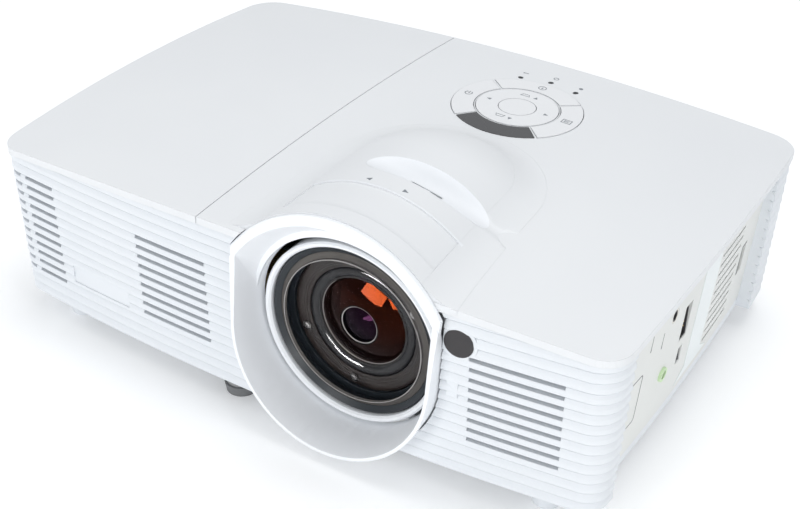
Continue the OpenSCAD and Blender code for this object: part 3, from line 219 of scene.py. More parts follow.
# %% Moulded plastic
def moulded(name, pale, dark, gloss=(0.42, 0.5), grain=2600, depth=0.00002, edge=0.0003, drift=9):
    made, tree, skin = new_finish(name)
    place = add(tree, "ShaderNodeTexCoord")
    slow = noise_of(tree, place, drift)
    link(tree, ramp_of(tree, slow.outputs["Fac"], dark, pale), skin.inputs["Base Color"])
    flow = noise_of(tree, place, 60, 2)
    link(tree, between(tree, flow.outputs["Fac"], *gloss), skin.inputs["Roughness"])
    fine = noise_of(tree, place, grain, 2, 0.6)
    bump = add(tree, "ShaderNodeBump", Strength=0.35, Distance=depth)
    link(tree, fine.outputs["Fac"], bump.inputs["Height"])
    if edge:
        rounding = add(tree, "ShaderNodeBevel", samples=4, Radius=edge)
        link(tree, rounding.outputs["Normal"], bump.inputs["Normal"])
    link(tree, bump.outputs["Normal"], skin.inputs["Normal"])
    return made


print("moulded() ready")


# %% [markdown]
# ## Step 5: the white finishes
# The casing is one family of white, but not one white. The ribbed shells are cool and satin. The
# top covers have a finer grain and look a touch greyer, because they face the sky. The keys are
# smoother, as fingers polish them. The connector panel is a warm grey print on plastic.

# %% White plastics
casing_white = moulded("casing_white", (0.76, 0.785, 0.815), (0.735, 0.765, 0.80))
cover_white = moulded("cover_white", (0.77, 0.785, 0.80), (0.75, 0.765, 0.785), (0.46, 0.56), 3200)
key_white = moulded("key_white", (0.80, 0.81, 0.825), (0.78, 0.79, 0.81), (0.3, 0.4), 3600, 0.00001)
lens_white = moulded("lens_surround_white", (0.885, 0.905, 0.93), (0.865, 0.885, 0.915), (0.38, 0.46), 3000)
panel_grey = moulded("connector_panel_grey", (0.765, 0.775, 0.755), (0.735, 0.745, 0.73), (0.5, 0.6))
print("white finishes:", [m.name for m in bpy.data.materials if "white" in m.name])

# %% [markdown]
# ## Step 6: the dark plastics and rubber
# The lens' trim ring is a blue-black satin plastic. The lens barrel and its baffle are matt, so
# that no stray light gets to the screen. The infrared windows are a very dark red-brown plastic
# that looks black, and they are the glossiest moulding on the outside. The feet are grey rubber.

# %% Dark plastics, windows and rubber
trim_black = moulded("trim_black", (0.020, 0.026, 0.032), (0.014, 0.018, 0.023), (0.28, 0.4), 2400)
matt_black = moulded("matt_black", (0.020, 0.019, 0.019), (0.012, 0.011, 0.011), (0.5, 0.65), 1800, 0.00004)
window_dark = moulded("window_dark", (0.030, 0.027, 0.029), (0.022, 0.019, 0.021), (0.12, 0.2), 900, 0.000003)
window_grey = moulded("window_grey", (0.088, 0.088, 0.092), (0.070, 0.070, 0.074), (0.2, 0.3), 900, 0.000003)
part_black = moulded("part_black", (0.045, 0.045, 0.048), (0.03, 0.03, 0.033), (0.45, 0.6))
foot_rubber = moulded("foot_rubber", (0.20, 0.205, 0.21), (0.15, 0.155, 0.16), (0.7, 0.85), 1400, 0.00008)
screw_plastic = moulded("foot_screw_grey", (0.34, 0.345, 0.35), (0.29, 0.295, 0.30), (0.4, 0.55))
speaker_cone = moulded("speaker_cone", (0.05, 0.05, 0.052), (0.03, 0.03, 0.032), (0.6, 0.8), 700, 0.0001)
print("dark finishes ready")

# %% [markdown]
# ## Step 7: metals
# Rolled steel has fine scratches along one way. Cast aluminium has a pebbled skin from the die.
# A stretched noise gives the first, a round one the second. Both are fully metallic.


# %% Metals
def metal(name, pale, dark, gloss, stretch=(1, 1, 1), grain=600, depth=0.00003):
    made, tree, skin = new_finish(name)
    skin.inputs["Metallic"].default_value = 1
    place = add(tree, "ShaderNodeTexCoord")
    turn = add(tree, "ShaderNodeMapping", Scale=stretch)
    link(tree, place.outputs["Object"], turn.inputs["Vector"])
    marks = add(tree, "ShaderNodeTexNoise", Scale=grain, Detail=4)
    link(tree, turn.outputs["Vector"], marks.inputs["Vector"])
    link(tree, ramp_of(tree, marks.outputs["Fac"], dark, pale), skin.inputs["Base Color"])
    link(tree, between(tree, marks.outputs["Fac"], *gloss), skin.inputs["Roughness"])
    bump = add(tree, "ShaderNodeBump", Strength=0.4, Distance=depth)
    link(tree, marks.outputs["Fac"], bump.inputs["Height"])
    link(tree, bump.outputs["Normal"], skin.inputs["Normal"])
    return made


rolled_steel = metal("rolled_steel", (0.62, 0.63, 0.65), (0.48, 0.49, 0.51), (0.2, 0.36), (1, 1, 12), 500)
cast_aluminium = metal(
    "cast_aluminium", (0.66, 0.67, 0.68), (0.55, 0.56, 0.57), (0.38, 0.55), grain=420, depth=0.0001
)
fin_aluminium = metal("fin_aluminium", (0.74, 0.75, 0.76), (0.64, 0.65, 0.66), (0.25, 0.4), (14, 1, 1), 300)
cold_mirror = metal(
    "cold_mirror", (0.80, 0.84, 0.92), (0.74, 0.78, 0.88), (0.04, 0.09), grain=200, depth=0.000005
)
gold_contact = metal("gold_contact", (0.85, 0.62, 0.28), (0.75, 0.52, 0.22), (0.2, 0.35))
print("metals ready")

# %% [markdown]
# ## Step 8: coated glass
# A lens is clear, but its coating throws back a little coloured light: violet on one element,
# amber on another. Glass that bends light is a transmitting shader. Its colour drifts a little
# from the middle outwards, as a real coating's thickness does.


# %% Coated glass
def coated_glass(name, tint, edge_tint, ior=1.5, reflect=0.5, centre=(0, 0, 0), spread=25):
    made, tree, skin = new_finish(name)
    skin.inputs["Transmission Weight"].default_value = 1
    skin.inputs["IOR"].default_value = ior
    skin.inputs["Specular IOR Level"].default_value = reflect
    place = add(tree, "ShaderNodeTexCoord")
    shift = tuple(-spread * c for c in centre)
    middle = add(tree, "ShaderNodeMapping", Location=shift, Scale=(spread, spread, spread))
    link(tree, place.outputs["Object"], middle.inputs["Vector"])
    round_fade = add(tree, "ShaderNodeTexGradient", gradient_type="SPHERICAL")
    link(tree, middle.outputs["Vector"], round_fade.inputs["Vector"])
    tinted = ramp_of(tree, round_fade.outputs["Fac"], edge_tint, tint, 0.05, 0.6)
    link(tree, tinted, skin.inputs["Base Color"])
    smear = noise_of(tree, place, 90, 2)
    link(tree, between(tree, smear.outputs["Fac"], 0.0, 0.012), skin.inputs["Roughness"])
    return made


INNER_PLACE = (AXIS_X / 1000, -0.06, AXIS_Z / 1000)
REAR_PLACE = (AXIS_X / 1000, -0.02, AXIS_Z / 1000)
WHEEL_PLACE = (-0.0235, 0.027, 0.05)
PIPE_PLACE = (0.035, 0.088, 0.098)
front_coat = coated_glass("front_coating", (0.92, 0.90, 0.90), (0.86, 0.84, 0.82), 1.5, 0.5, LENS_MIDDLE)
inner_coat = coated_glass("inner_coating", (0.80, 0.62, 0.72), (0.7, 0.5, 0.55), 1.6, 1.0, INNER_PLACE)
rear_coat = coated_glass("rear_coating", (0.62, 0.55, 0.85), (0.5, 0.4, 0.7), 1.6, 1.0, REAR_PLACE)
wheel_glass = coated_glass("wheel_glass", (0.55, 0.75, 0.95), (0.95, 0.6, 0.45), 1.45, 1.0, WHEEL_PLACE, 35)
light_pipe = coated_glass("light_pipe", (0.30, 0.31, 0.33), (0.24, 0.25, 0.27), 1.49, 0.5, PIPE_PLACE, 60)
print("glasses ready")

# %% [markdown]
# ## Step 9: circuit boards
# A board is glass cloth under green lacquer. Thin tracks run under it as slightly paler lines, and
# the parts soldered on it are black, silver or buff. A brick pattern makes the tracks.


# %% Circuit board finish
def board_finish(name, lacquer, track):
    made, tree, skin = new_finish(name)
    place = add(tree, "ShaderNodeTexCoord")
    tracks = add(tree, "ShaderNodeTexBrick")
    tracks.inputs["Scale"].default_value = 180
    tracks.inputs["Mortar Size"].default_value = 0.06
    red, green, blue = lacquer
    tracks.inputs["Color1"].default_value = (*lacquer, 1)
    tracks.inputs["Color2"].default_value = (red * 0.8, green * 0.85, blue * 0.8, 1)
    tracks.inputs["Mortar"].default_value = (*track, 1)
    link(tree, place.outputs["Object"], tracks.inputs["Vector"])
    link(tree, tracks.outputs["Color"], skin.inputs["Base Color"])
    cloth = noise_of(tree, place, 1500)
    link(tree, between(tree, cloth.outputs["Fac"], 0.3, 0.45), skin.inputs["Roughness"])
    bump = add(tree, "ShaderNodeBump", Strength=0.3, Distance=0.00004)
    link(tree, tracks.outputs["Fac"], bump.inputs["Height"])
    link(tree, bump.outputs["Normal"], skin.inputs["Normal"])
    return made


board_green = board_finish("board_green", (0.02, 0.16, 0.07), (0.05, 0.28, 0.12))
board_buff = board_finish("board_buff", (0.30, 0.20, 0.08), (0.42, 0.30, 0.14))
print("board finishes ready")

# %% [markdown]
# ## Step 10: every node gets its finish
# One table says which piece wears which finish. The cell ends by printing the names of the pieces
# that the table forgot, if there are any.

# %% Finish of each node
FINISH = {
    casing_white: ["bottom_case", "front_bezel", "left_panel", "rear_panel", "front_feet"],
    lens_white: ["lens_surround", "focus_ring"],
    cover_white: ["top_cover", "lamp_cover"],
    key_white: ["power_key", "menu_key", "info_key", "enter_key", "direction_pad"],
    panel_grey: ["io_panel"],
    trim_black: ["lens_trim_ring"],
    matt_black: ["lens_barrel", "lens_baffle"],
    window_dark: ["front_ir_window"],
    window_grey: ["top_ir_window"],
    part_black: ["video_port", "audio_jack", "power_inlet", "lamp_module", "pad_pivot_ring"],
    foot_rubber: ["elevator_foot", "rear_right_foot", "rear_left_foot"],
    screw_plastic: ["elevator_screw", "rear_right_screw", "rear_left_screw"],
    rolled_steel: ["service_port", "security_bar", "case_screws", "engine_screws", "colour_wheel_motor"],
    cast_aluminium: ["light_engine"],
    fin_aluminium: ["chip_heatsink"],
    cold_mirror: ["lamp_reflector"],
    front_coat: ["front_lens"],
    inner_coat: ["inner_lens"],
    rear_coat: ["rear_lens"],
    wheel_glass: ["colour_wheel"],
    light_pipe: ["status_lights"],
    board_green: ["keypad_board", "main_board"],
    board_buff: ["lamp_ballast", "power_supply"],
    speaker_cone: ["speaker"],
}
FINISH[part_black] += ["exhaust_fan_frame", "exhaust_fan_rotor", "blower_housing", "blower_rotor"]
dressed = set()
for finish, names in FINISH.items():
    for name in names:
        nodes[name].data.materials.clear()
        nodes[name].data.materials.append(finish)
        dressed.add(name)
print("nodes without a finish:", sorted(set(nodes) - dressed))

# %% [markdown]
# ## Step 11: turned pieces of the lens
# Every piece of a lens is turned about one axis, so it can be modelled as on a lathe: its half
# outline is drawn point by point by extruding one vertex, and then spun once round the axis. A
# stack of cylinders could stand for it, but it would lose the curved faces that catch the lamps.
# The spin leaves a seam, so its doubles are merged first, and the normals are set after that.


# %% The lathe
def mm(*values):
    return tuple(v / 1000 for v in values)


def finished(piece, finish, body, sharp=35):
    """Smooths a piece, gives it its finish, and lets it ride on its body."""
    bpy.ops.object.select_all(action="DESELECT")
    piece.select_set(True)
    bpy.context.view_layer.objects.active = piece
    bpy.ops.object.shade_smooth_by_angle(angle=math.radians(sharp))
    piece.data.materials.clear()
    piece.data.materials.append(finish)
    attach(piece, body)
    piece.select_set(False)
    return piece


def lathe(name, outline, steps=96, centre=(AXIS_X, AXIS_Z)):
    """Spins an outline of (radius, y) points, in millimetres, about the lens' axis."""
    bpy.ops.object.select_all(action="DESELECT")
    bpy.ops.mesh.primitive_plane_add(size=0.001, location=(0, 0, 0))
    made = bpy.context.object
    made.name = name
    bpy.ops.object.mode_set(mode="EDIT")
    bpy.ops.mesh.select_mode(type="VERT")
    bpy.ops.mesh.select_all(action="SELECT")
    bpy.ops.mesh.merge(type="CENTER")
    bpy.ops.transform.translate(value=mm(outline[0][0], outline[0][1], 0))
    for (r0, y0), (r1, y1) in zip(outline, outline[1:]):
        bpy.ops.mesh.extrude_region_move(TRANSFORM_OT_translate={"value": mm(r1 - r0, y1 - y0, 0)})
    bpy.ops.mesh.select_all(action="SELECT")
    bpy.ops.mesh.spin(steps=steps, angle=2 * math.pi, center=(0, 0, 0), axis=(0, 1, 0))
    bpy.ops.mesh.select_all(action="SELECT")
    bpy.ops.mesh.remove_doubles(threshold=0.000004)
    bpy.ops.mesh.normals_make_consistent(inside=False)
    bpy.ops.transform.translate(value=mm(centre[0], 0, centre[1]))
    bpy.ops.object.mode_set(mode="OBJECT")
    print(name, len(made.data.polygons), "faces", tuple(round(1000 * v, 1) for v in made.dimensions))
    return made


def bowl(radius, vertex, r_from, r_to, count):
    """Points on a ball-shaped glass face that bulges forward from its vertex."""
    points = []
    for k in range(count + 1):
        r = r_from + (r_to - r_from) * k / count
        points.append((r, vertex + radius - math.sqrt(radius * radius - r * r)))
    return points


# %% [markdown]
# ## Step 12: finishes of the optics
# A coating lets most light through and throws back a little of one colour. On the front glass it
# throws back next to nothing. The second glass is where the photograph shows its warm, window-like
# glints, against near black. Rare glints on clear glass come out as noise, so this glass is made
# as a black, very glossy face whose reflection has the coating's colour. The front glass is almost
# fully see-through for the same reason: its haze is kept to less than a hundredth.


# %% Coatings
def coating(name, body_pale, body_dark, tint, gloss=(0.01, 0.03), ior=1.5):
    made, tree, skin = new_finish(name)
    skin.inputs["IOR"].default_value = ior
    skin.inputs["Specular Tint"].default_value = (*tint, 1)
    place = add(tree, "ShaderNodeTexCoord")
    cloud = noise_of(tree, place, 60, 2)
    link(tree, ramp_of(tree, cloud.outputs["Fac"], body_dark, body_pale), skin.inputs["Base Color"])
    smear = noise_of(tree, place, 140, 2)
    link(tree, between(tree, smear.outputs["Fac"], *gloss), skin.inputs["Roughness"])
    return made


AMBER_TINT, VIOLET_TINT = (1.0, 0.15, 0.03), (0.62, 0.10, 0.50)
FRONT_TINT, PLAIN_TINT = (0.7, 0.45, 0.8), (1, 1, 1)
amber_coat = coating(
    "amber_coating", (0.0016, 0.0006, 0.0005), (0.0006, 0.0003, 0.0003), AMBER_TINT, (0.02, 0.035), 1.26
)
violet_coat = coating(
    "violet_coating", (0.0010, 0.0006, 0.0016), (0.0006, 0.0005, 0.001), VIOLET_TINT, (0.02, 0.035), 1.22
)
# Pale grey for lens edges: partly a ground edge's own colour, partly painted highlight for the light the
# edges catch.
bright_edge = coating("ground_edge_and_painted_highlight", (0.50, 0.48, 0.47), (0.34, 0.32, 0.31), PLAIN_TINT, (0.25, 0.4))
flange_brown = moulded(
    "glass_flange_brown", (0.085, 0.076, 0.068), (0.052, 0.046, 0.042), (0.3, 0.45), 1500, 0.00001, 0, 40
)
cavity_brown = moulded(
    "cavity_brown", (0.034, 0.025, 0.022), (0.012, 0.009, 0.009), (0.3, 0.45), 1600, 0.00002, 0.0002, 60
)
ring_black = coating(
    "retaining_ring_black", (0.006, 0.006, 0.0065), (0.003, 0.003, 0.0035), PLAIN_TINT, (0.05, 0.09), 1.4
)
front_glass_clear = coating(
    "front_glass_clear", (0.030, 0.026, 0.024), (0.016, 0.014, 0.014), FRONT_TINT, (0.02, 0.04), 1.3
)
front_glass_clear.node_tree.nodes["Principled BSDF"].inputs["Alpha"].default_value = 0.006
print("optics finishes ready")

# %% [markdown]
# ## Step 13: the front glass
# The outer glass is a shallow dome with a step near its edge. The flange outside the step is
# pressed behind the black trim ring, and is ground and painted, so that it looks brown-grey.
# The step's corner is a thin pale grey ring, painted highlight for the light that the corner
# catches. The glass takes the place of the CAD lens, which has the same vertex and nearly the same
# rim, but no step and a thicker middle.

# %% Front glass, its painted flange and bright step
front_face = bowl(84, -95.7, 0, 33.5, 14)
rear_face = bowl(60, -91.2, 31, 0, 12)
step_and_rim = [(33.7, -88.4), (33.7, -86.6), (36.4, -86.4), (36.4, -82.4), (31.4, -82.4)]
front_turned = lathe("front_glass", front_face + step_and_rim + rear_face)
front_glass = finished(front_turned, front_glass_clear, "case")
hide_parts("front_lens")

flange_outline = [(33.75, -86.62), (33.75, -86.85), (34.2, -86.95), (36.0, -86.75)]
flange_outline += [(36.5, -86.55), (36.5, -86.42), (33.75, -86.62)]
finished(lathe("front_glass_flange", flange_outline), flange_brown, "case")
# Painted highlight: a pale grey ring at the step's corner.
step_outline = [(33.45, -88.72), (33.6, -88.86), (33.78, -88.72), (33.85, -88.4)]
step_outline += [(33.72, -88.3), (33.5, -88.5), (33.45, -88.72)]
finished(lathe("front_glass_step", step_outline), bright_edge, "case")

# %% [markdown]
# ## Step 14: the second glass
# Behind the front glass sits a strongly curved element in a black retaining ring. Its edge is
# chamfered, and the chamfer is a fine pale grey ring: partly the ground glass's own colour, partly a
# painted highlight. On the real lens one sees the next small element and its ring through the
# middle. Here that small element is set into the middle of the black glass, and a pale line on its
# ring's front lip is a painted highlight. These pieces ride on the focus cell, as the CAD lens that
# they replace does.

# %% Second glass with its small middle element
second_face = bowl(42, -83.5, 9.4, 20.55, 12)
second_turned = lathe("second_glass", second_face + [(20.55, -77.4), (9.4, -79.9), second_face[0]], 128)
second_glass = finished(second_turned, amber_coat, "focus_cell", 60)
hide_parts("inner_lens")
middle_turned = lathe("second_glass_middle", bowl(30, -82.2, 0, 8.2, 6) + [(8.2, -80.4), (0, -80.4)])
middle_glass = finished(middle_turned, violet_coat, "focus_cell", 60)
middle_ring = [(8.3, -81.5), (8.5, -82.0), (8.9, -82.25), (9.25, -82.2)]
middle_ring += [(9.35, -81.6), (9.35, -80.3), (8.3, -80.3), (8.3, -81.5)]
finished(lathe("second_glass_middle_ring", middle_ring), ring_black, "focus_cell")
# Painted highlight: a pale line on the front lip of the small element's black ring.
middle_line = [(8.42, -82.0), (8.56, -82.16), (8.72, -82.22), (8.72, -82.1), (8.5, -81.9), (8.42, -82.0)]
finished(lathe("second_glass_middle_line", middle_line), bright_edge, "focus_cell")
# The chamfer's pale grey: partly the ground glass's own colour, partly painted highlight.
chamfer = [(20.58, -78.5), (20.75, -78.72), (20.95, -78.66), (20.98, -78.4), (20.6, -78.2), (20.58, -78.5)]
finished(lathe("second_glass_chamfer", chamfer, 128), bright_edge, "focus_cell")

# %% Retaining ring round the second glass
hump = [(21.0, -78.6), (21.3, -79.2), (22.2, -79.95), (23.3, -80.4), (24.4, -80.5)]
hump += [(25.3, -80.3), (25.9, -79.8), (26.0, -79.55), (21.6, -78.65), (21.0, -78.6)]
ring_turned = lathe("retaining_ring", hump, 128)
ring = finished(ring_turned, ring_black, "focus_cell", 60)

# %% [markdown]
# ## Step 15: the cavity between the two glasses
# The wall that leads from the retaining ring out to the front glass is turned with a few steps,
# which break up stray light. It is satin brown-black. Three small clamp screws hold the cell to it.

# %% Cavity wall with its steps
wall = [(26.15, -79.65), (26.15, -80.15), (27.6, -80.3), (27.7, -80.5), (28.6, -80.6), (28.7, -80.75)]
wall += [(29.9, -80.85), (30.0, -80.95), (31.2, -81.0), (32.2, -81.05), (32.6, -80.8), (32.6, -79.65)]
finished(lathe("cavity_wall", wall + wall[:1], 128), cavity_brown, "focus_cell")


# %% Clamp screws of the cell
def clamp(name, x, z, y):
    """A pan-head screw on a round pad: a disc, inset and raised, with a round pit pressed into its head."""
    bpy.ops.object.select_all(action="DESELECT")
    place = mm(AXIS_X + x, y, AXIS_Z + z)
    facing = (math.radians(90), 0, 0)
    bpy.ops.mesh.primitive_cylinder_add(
        vertices=40, radius=0.0021, depth=0.0005, location=place, rotation=facing
    )
    made = bpy.context.object
    made.name = name
    bpy.ops.object.transform_apply(location=True, rotation=True, scale=True)
    bpy.ops.object.mode_set(mode="EDIT")
    bpy.ops.mesh.select_all(action="DESELECT")
    bpy.ops.object.mode_set(mode="OBJECT")
    for face in made.data.polygons:
        face.select = face.normal.y < -0.9
    bpy.ops.object.mode_set(mode="EDIT")
    bpy.ops.mesh.select_mode(type="FACE")
    bpy.ops.mesh.inset(thickness=0.0005)
    bpy.ops.mesh.extrude_region_move(TRANSFORM_OT_translate={"value": (0, -0.00045, 0)})
    bpy.ops.mesh.inset(thickness=0.0005, depth=0.0002)
    bpy.ops.mesh.inset(thickness=0.00045)
    bpy.ops.mesh.extrude_region_move(TRANSFORM_OT_translate={"value": (0, 0.00045, 0)})
    bpy.ops.object.mode_set(mode="OBJECT")
    return finished(made, clamp_steel, "focus_cell", 40)


clamp_steel = metal("clamp_steel", (0.42, 0.41, 0.40), (0.22, 0.21, 0.21), (0.22, 0.36), (1, 1, 1), 300)
CLAMP_Y = -80.95
for side, x, z in (("left", -27.3, -11.2), ("lower", -3.2, -29.4), ("right", 25.7, 14.3)):
    clamp(f"cell_clamp_{side}", x, z, CLAMP_Y)
print("cell clamps in place")

# %% [markdown]
# ## Step 16: the glint in the coated glass
# A studio's windows show in a coated lens as small, sharp patches in the coating's colour. Lamps as
# bright as that would wash out the white casing. So each of these three is linked to the lens
# pieces that show it, and lights nothing else.

# %% Windows that only the lens sees
for name, seen_by, place, width, height, roll, glow in (
    ("window_glint", (second_glass, ring), (-0.213, -1.318, 0.235), 0.66, 0.37, -20, 52),
    ("window_glint_right", (second_glass, ring), (0.30, -1.31, 0.225), 0.17, 0.50, 28, 60),
    ("window_glint_low", (middle_glass,), (0.011, -0.216, 0.012), 0.055, 0.024, 35, 16),
):
    sees = bpy.data.collections.new(name + "_seen_by")
    for piece in seen_by:
        sees.objects.link(piece)
    glint = lamp_box(name, place, LENS_MIDDLE, width, height, glow, roll)
    glint.light_linking.receiver_collection = sees

# %% [markdown]
# ## Step 17: the soft foot of the lens dome
# On the real cover the dome over the lens flows into the top in one soft sweep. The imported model
# has a crease there. This piece is the sweep: a strip, 2.2 mm thick, that touches both the dome
# and the top. A grid is laid along the crease, and each of its cross lines is set to an arc that
# is tangent to both. Solidify gives it its thickness and closes its edges.

# %% Sweep between the dome and the top
DOME_R, DOME_END, SWEEP_R = 59.8, -26.0, 25.0
RIM_PLANE_Y, RIM_PLANE_Z, RIM_LEAN = -109.5, 5.7, math.radians(6)
CROWN_TOP, CROWN_R, CROWN_Y = 99.0, 1520.0, 9.2
FLANK, CREASE_R = 75.0, 48.0


def crown(x, y):
    """Height of the top in millimetres: the top is part of a wide ball."""
    return CROWN_TOP - CROWN_R + math.sqrt(CROWN_R**2 - x * x - (y - CROWN_Y) ** 2)


def sweep_point(along, across):
    """along runs down the left flank, round the rear and up the right; across from dome to top."""
    turn = math.pi * CREASE_R
    run = along * (2 * FLANK + turn)
    if run < FLANK:
        out, base_y = Vector((-1, 0)), DOME_END - (FLANK - run)
    elif run < FLANK + turn:
        angle = math.pi - (run - FLANK) / CREASE_R
        out, base_y = Vector((math.cos(angle), math.sin(angle))), DOME_END
    else:
        out, base_y = Vector((1, 0)), DOME_END - (run - FLANK - turn)
    reach = CREASE_R
    for _ in range(4):
        top = crown(AXIS_X + out.x * reach, base_y + out.y * reach) + 0.05
        reach = math.sqrt((DOME_R + SWEEP_R) ** 2 - (top + SWEEP_R - AXIS_Z) ** 2)
    centre = Vector((reach, top + SWEEP_R))
    start = math.atan2(AXIS_Z - centre.y, -centre.x)
    end = -math.pi / 2 - 0.03
    if start > 0:
        start -= 2 * math.pi
    angle = start + (end - start) * across
    u = centre.x + SWEEP_R * math.cos(angle)
    z = centre.y + SWEEP_R * math.sin(angle)
    y = max(base_y + out.y * u, RIM_PLANE_Y + (z - RIM_PLANE_Z) * math.tan(RIM_LEAN))
    return Vector(mm(AXIS_X + out.x * u, y, z))


ALONG, ACROSS = 140, 14
bpy.ops.mesh.primitive_grid_add(x_subdivisions=ALONG, y_subdivisions=ACROSS, size=1, location=(0, 0, 0))
sweep = bpy.context.object
sweep.name = "dome_sweep"
for vertex in sweep.data.vertices:
    vertex.co = sweep_point(vertex.co.x + 0.5, vertex.co.y + 0.5)
bpy.ops.object.mode_set(mode="EDIT")
bpy.ops.mesh.select_all(action="SELECT")
bpy.ops.mesh.normals_make_consistent(inside=False)
bpy.ops.object.mode_set(mode="OBJECT")
if sum(face.normal.z for face in sweep.data.polygons) < 0:
    sweep.data.flip_normals()
skin = sweep.modifiers.new("skin", "SOLIDIFY")
skin.thickness = 0.0022
skin.offset = -1
bpy.ops.object.modifier_apply(modifier="skin")
print("sweep:", len(sweep.data.polygons), "faces", tuple(round(1000 * v, 1) for v in sweep.dimensions))

# %% [markdown]
# The finger scoop for the focus lever is a groove that runs on through the sweep. Its cutter is a
# wide ring, turned like the lens pieces round an axis of its own, and a Boolean takes it away.


# %% Groove through the sweep
def carve(piece, cutter, name):
    """Takes the cutter's shape out of a piece with a Boolean, and removes the cutter."""
    cut = piece.modifiers.new(name, "BOOLEAN")
    cut.operation = "DIFFERENCE"
    cut.object = cutter
    cut.solver = "EXACT"
    bpy.ops.object.select_all(action="DESELECT")
    piece.select_set(True)
    bpy.context.view_layer.objects.active = piece
    bpy.ops.object.modifier_apply(modifier=name)
    bpy.data.objects.remove(cutter, do_unlink=True)


SCOOP_Y, SCOOP_TURN, SCOOP_R, SCOOP_LIFT, SCOOP_AT = -49.0, 197.0, 8.8, 3.2, 77.5
groove_angles = [k * math.pi / 24 for k in range(49)]
groove_outline = [
    (SCOOP_TURN + SCOOP_R * math.cos(a), SCOOP_R * math.sin(a) + SCOOP_Y) for a in groove_angles
]
drop = DOME_R + SCOOP_LIFT - SCOOP_TURN
lean = math.radians(90 - SCOOP_AT)
groove_middle = (AXIS_X + drop * math.sin(lean), AXIS_Z + drop * math.cos(lean))
groove = lathe("groove_cutter", groove_outline, 360, groove_middle)
carve(sweep, groove, "groove")
finished(sweep, cover_white, "case", 60)
print("sweep after the groove:", len(sweep.data.polygons), "faces")

# %% [markdown]
# The scoop is brighter than the dome round it because of how light falls in it. A lining in
# a slightly brighter white paints that light: it is a patch of the same wide ring, a few hundredths
# of a millimetre above the groove. A grid is laid along the groove, and each cross line runs only
# as far as it is deep.

# %% Lining of the scoop, in a brighter white that paints the light in it
LINING_R = SCOOP_R - 0.07
# Painted light: a white brighter than the dome's, for the light that falls in the scoop.
painted_light_white = moulded("painted_light_white", (0.83, 0.85, 0.875), (0.81, 0.83, 0.86), (0.42, 0.5), 3000, 0.00001, 0)


def ring_point(turn, around):
    """A point of the lining's ring: turn runs along the groove, around runs round its section."""
    reach = SCOOP_TURN + LINING_R * math.cos(around)
    angle = math.radians(SCOOP_AT) + turn
    x = groove_middle[0] + reach * math.cos(angle)
    y = SCOOP_Y + LINING_R * math.sin(around)
    z = groove_middle[1] + reach * math.sin(angle)
    return Vector((x, y, z))


def under_skin(turn, around):
    point = ring_point(turn, around)
    return math.hypot(point.x - AXIS_X, point.z - AXIS_Z) < DOME_R - 0.04


def last_inside(test, inside, outside):
    """Halves the way between a value that passes the test and one that fails, 40 times."""
    for _ in range(40):
        halfway = (inside + outside) / 2
        if test(halfway):
            inside = halfway
        else:
            outside = halfway
    return inside


groove_end = last_inside(lambda turn: under_skin(turn, math.pi), 0.0, math.radians(15)) * 0.999
bpy.ops.object.select_all(action="DESELECT")
bpy.ops.mesh.primitive_grid_add(x_subdivisions=90, y_subdivisions=20, size=1, location=(0, 0, 0))
lining = bpy.context.object
lining.name = "scoop_lining"
for vertex in lining.data.vertices:
    turn = math.sin(vertex.co.x * math.pi) * groove_end
    half = math.pi - last_inside(lambda around: under_skin(turn, around), math.pi, math.pi / 2)
    vertex.co = ring_point(turn, math.pi + 2 * vertex.co.y * half) / 1000
if sum(face.normal.z for face in lining.data.polygons) < 0:
    lining.data.flip_normals()
shell = lining.modifiers.new("shell", "SOLIDIFY")
shell.thickness = 0.00005
shell.offset = -1
bpy.ops.object.modifier_apply(modifier="shell")

# %% Slit for the focus lever
bpy.ops.object.select_all(action="DESELECT")
SLIT_REACH, SLIT_Y, SLIT_SIZE = 56, -50.0, (16.2, 1.5, 16)
slit_angle = math.radians(SCOOP_AT)
slit_x = AXIS_X + SLIT_REACH * math.cos(slit_angle)
slit_z = AXIS_Z + SLIT_REACH * math.sin(slit_angle)
bpy.ops.mesh.primitive_cube_add(size=1, location=mm(slit_x, SLIT_Y, slit_z), rotation=(0, lean, 0))
slit_cutter = bpy.context.object
slit_cutter.name = "slit_cutter"
slit_cutter.scale = mm(*SLIT_SIZE)
bpy.ops.object.transform_apply(location=True, rotation=True, scale=True)
carve(lining, slit_cutter, "slit")
# The lining wears the painted-light white.
finished(lining, painted_light_white, "case", 60)
print("lining:", len(lining.data.polygons), "faces", tuple(round(1000 * v, 1) for v in lining.dimensions))

# %% [markdown]
# ## Step 18: the printed marks
# The small signs on the keys are pad printed: a film of grey ink, a few hundredths of a
# millimetre thick. Each is a real thin piece. It is drawn flat, dropped onto the skin below it by
# a ray, point by point, and given its thickness. A filled sign starts as a disc with as many
# corners as it needs, and a line or a ring starts as a grid that is laid along its path.


# %% Helpers for marks
def tree_of(*names):
    """What a ray can hit: the named nodes' and pieces' own faces."""
    points, faces = [], []
    for name in names:
        mesh = bpy.data.objects[name].data
        first = len(points)
        points += [v.co.copy() for v in mesh.vertices]
        faces += [[first + k for k in face.vertices] for face in mesh.polygons]
    return BVHTree.FromPolygons(points, faces)


def dropped(tree, point, way, proud):
    """The skin's point below; with no tree, the top's own ball shape is taken."""
    if tree is None:
        return Vector((point[0], point[1], crown(1000 * point[0], 1000 * point[1]) / 1000 + proud))
    hit = tree.ray_cast(point, way)
    if hit[0] is None:
        raise ValueError(f"nothing under {tuple(point)}")
    return hit[0] - Vector(way) * proud


def thickened(made, finish, body, film):
    bpy.ops.object.mode_set(mode="EDIT")
    bpy.ops.mesh.select_all(action="SELECT")
    bpy.ops.mesh.remove_doubles(threshold=0.000002)
    bpy.ops.mesh.normals_make_consistent(inside=False)
    bpy.ops.object.mode_set(mode="OBJECT")
    ink = made.modifiers.new("ink", "SOLIDIFY")
    ink.thickness = film
    ink.offset = 0
    bpy.ops.object.modifier_apply(modifier="ink")
    return finished(made, finish, body, 30)


INK_FILM = 0.00006
DOWN = (0, 0, -1)


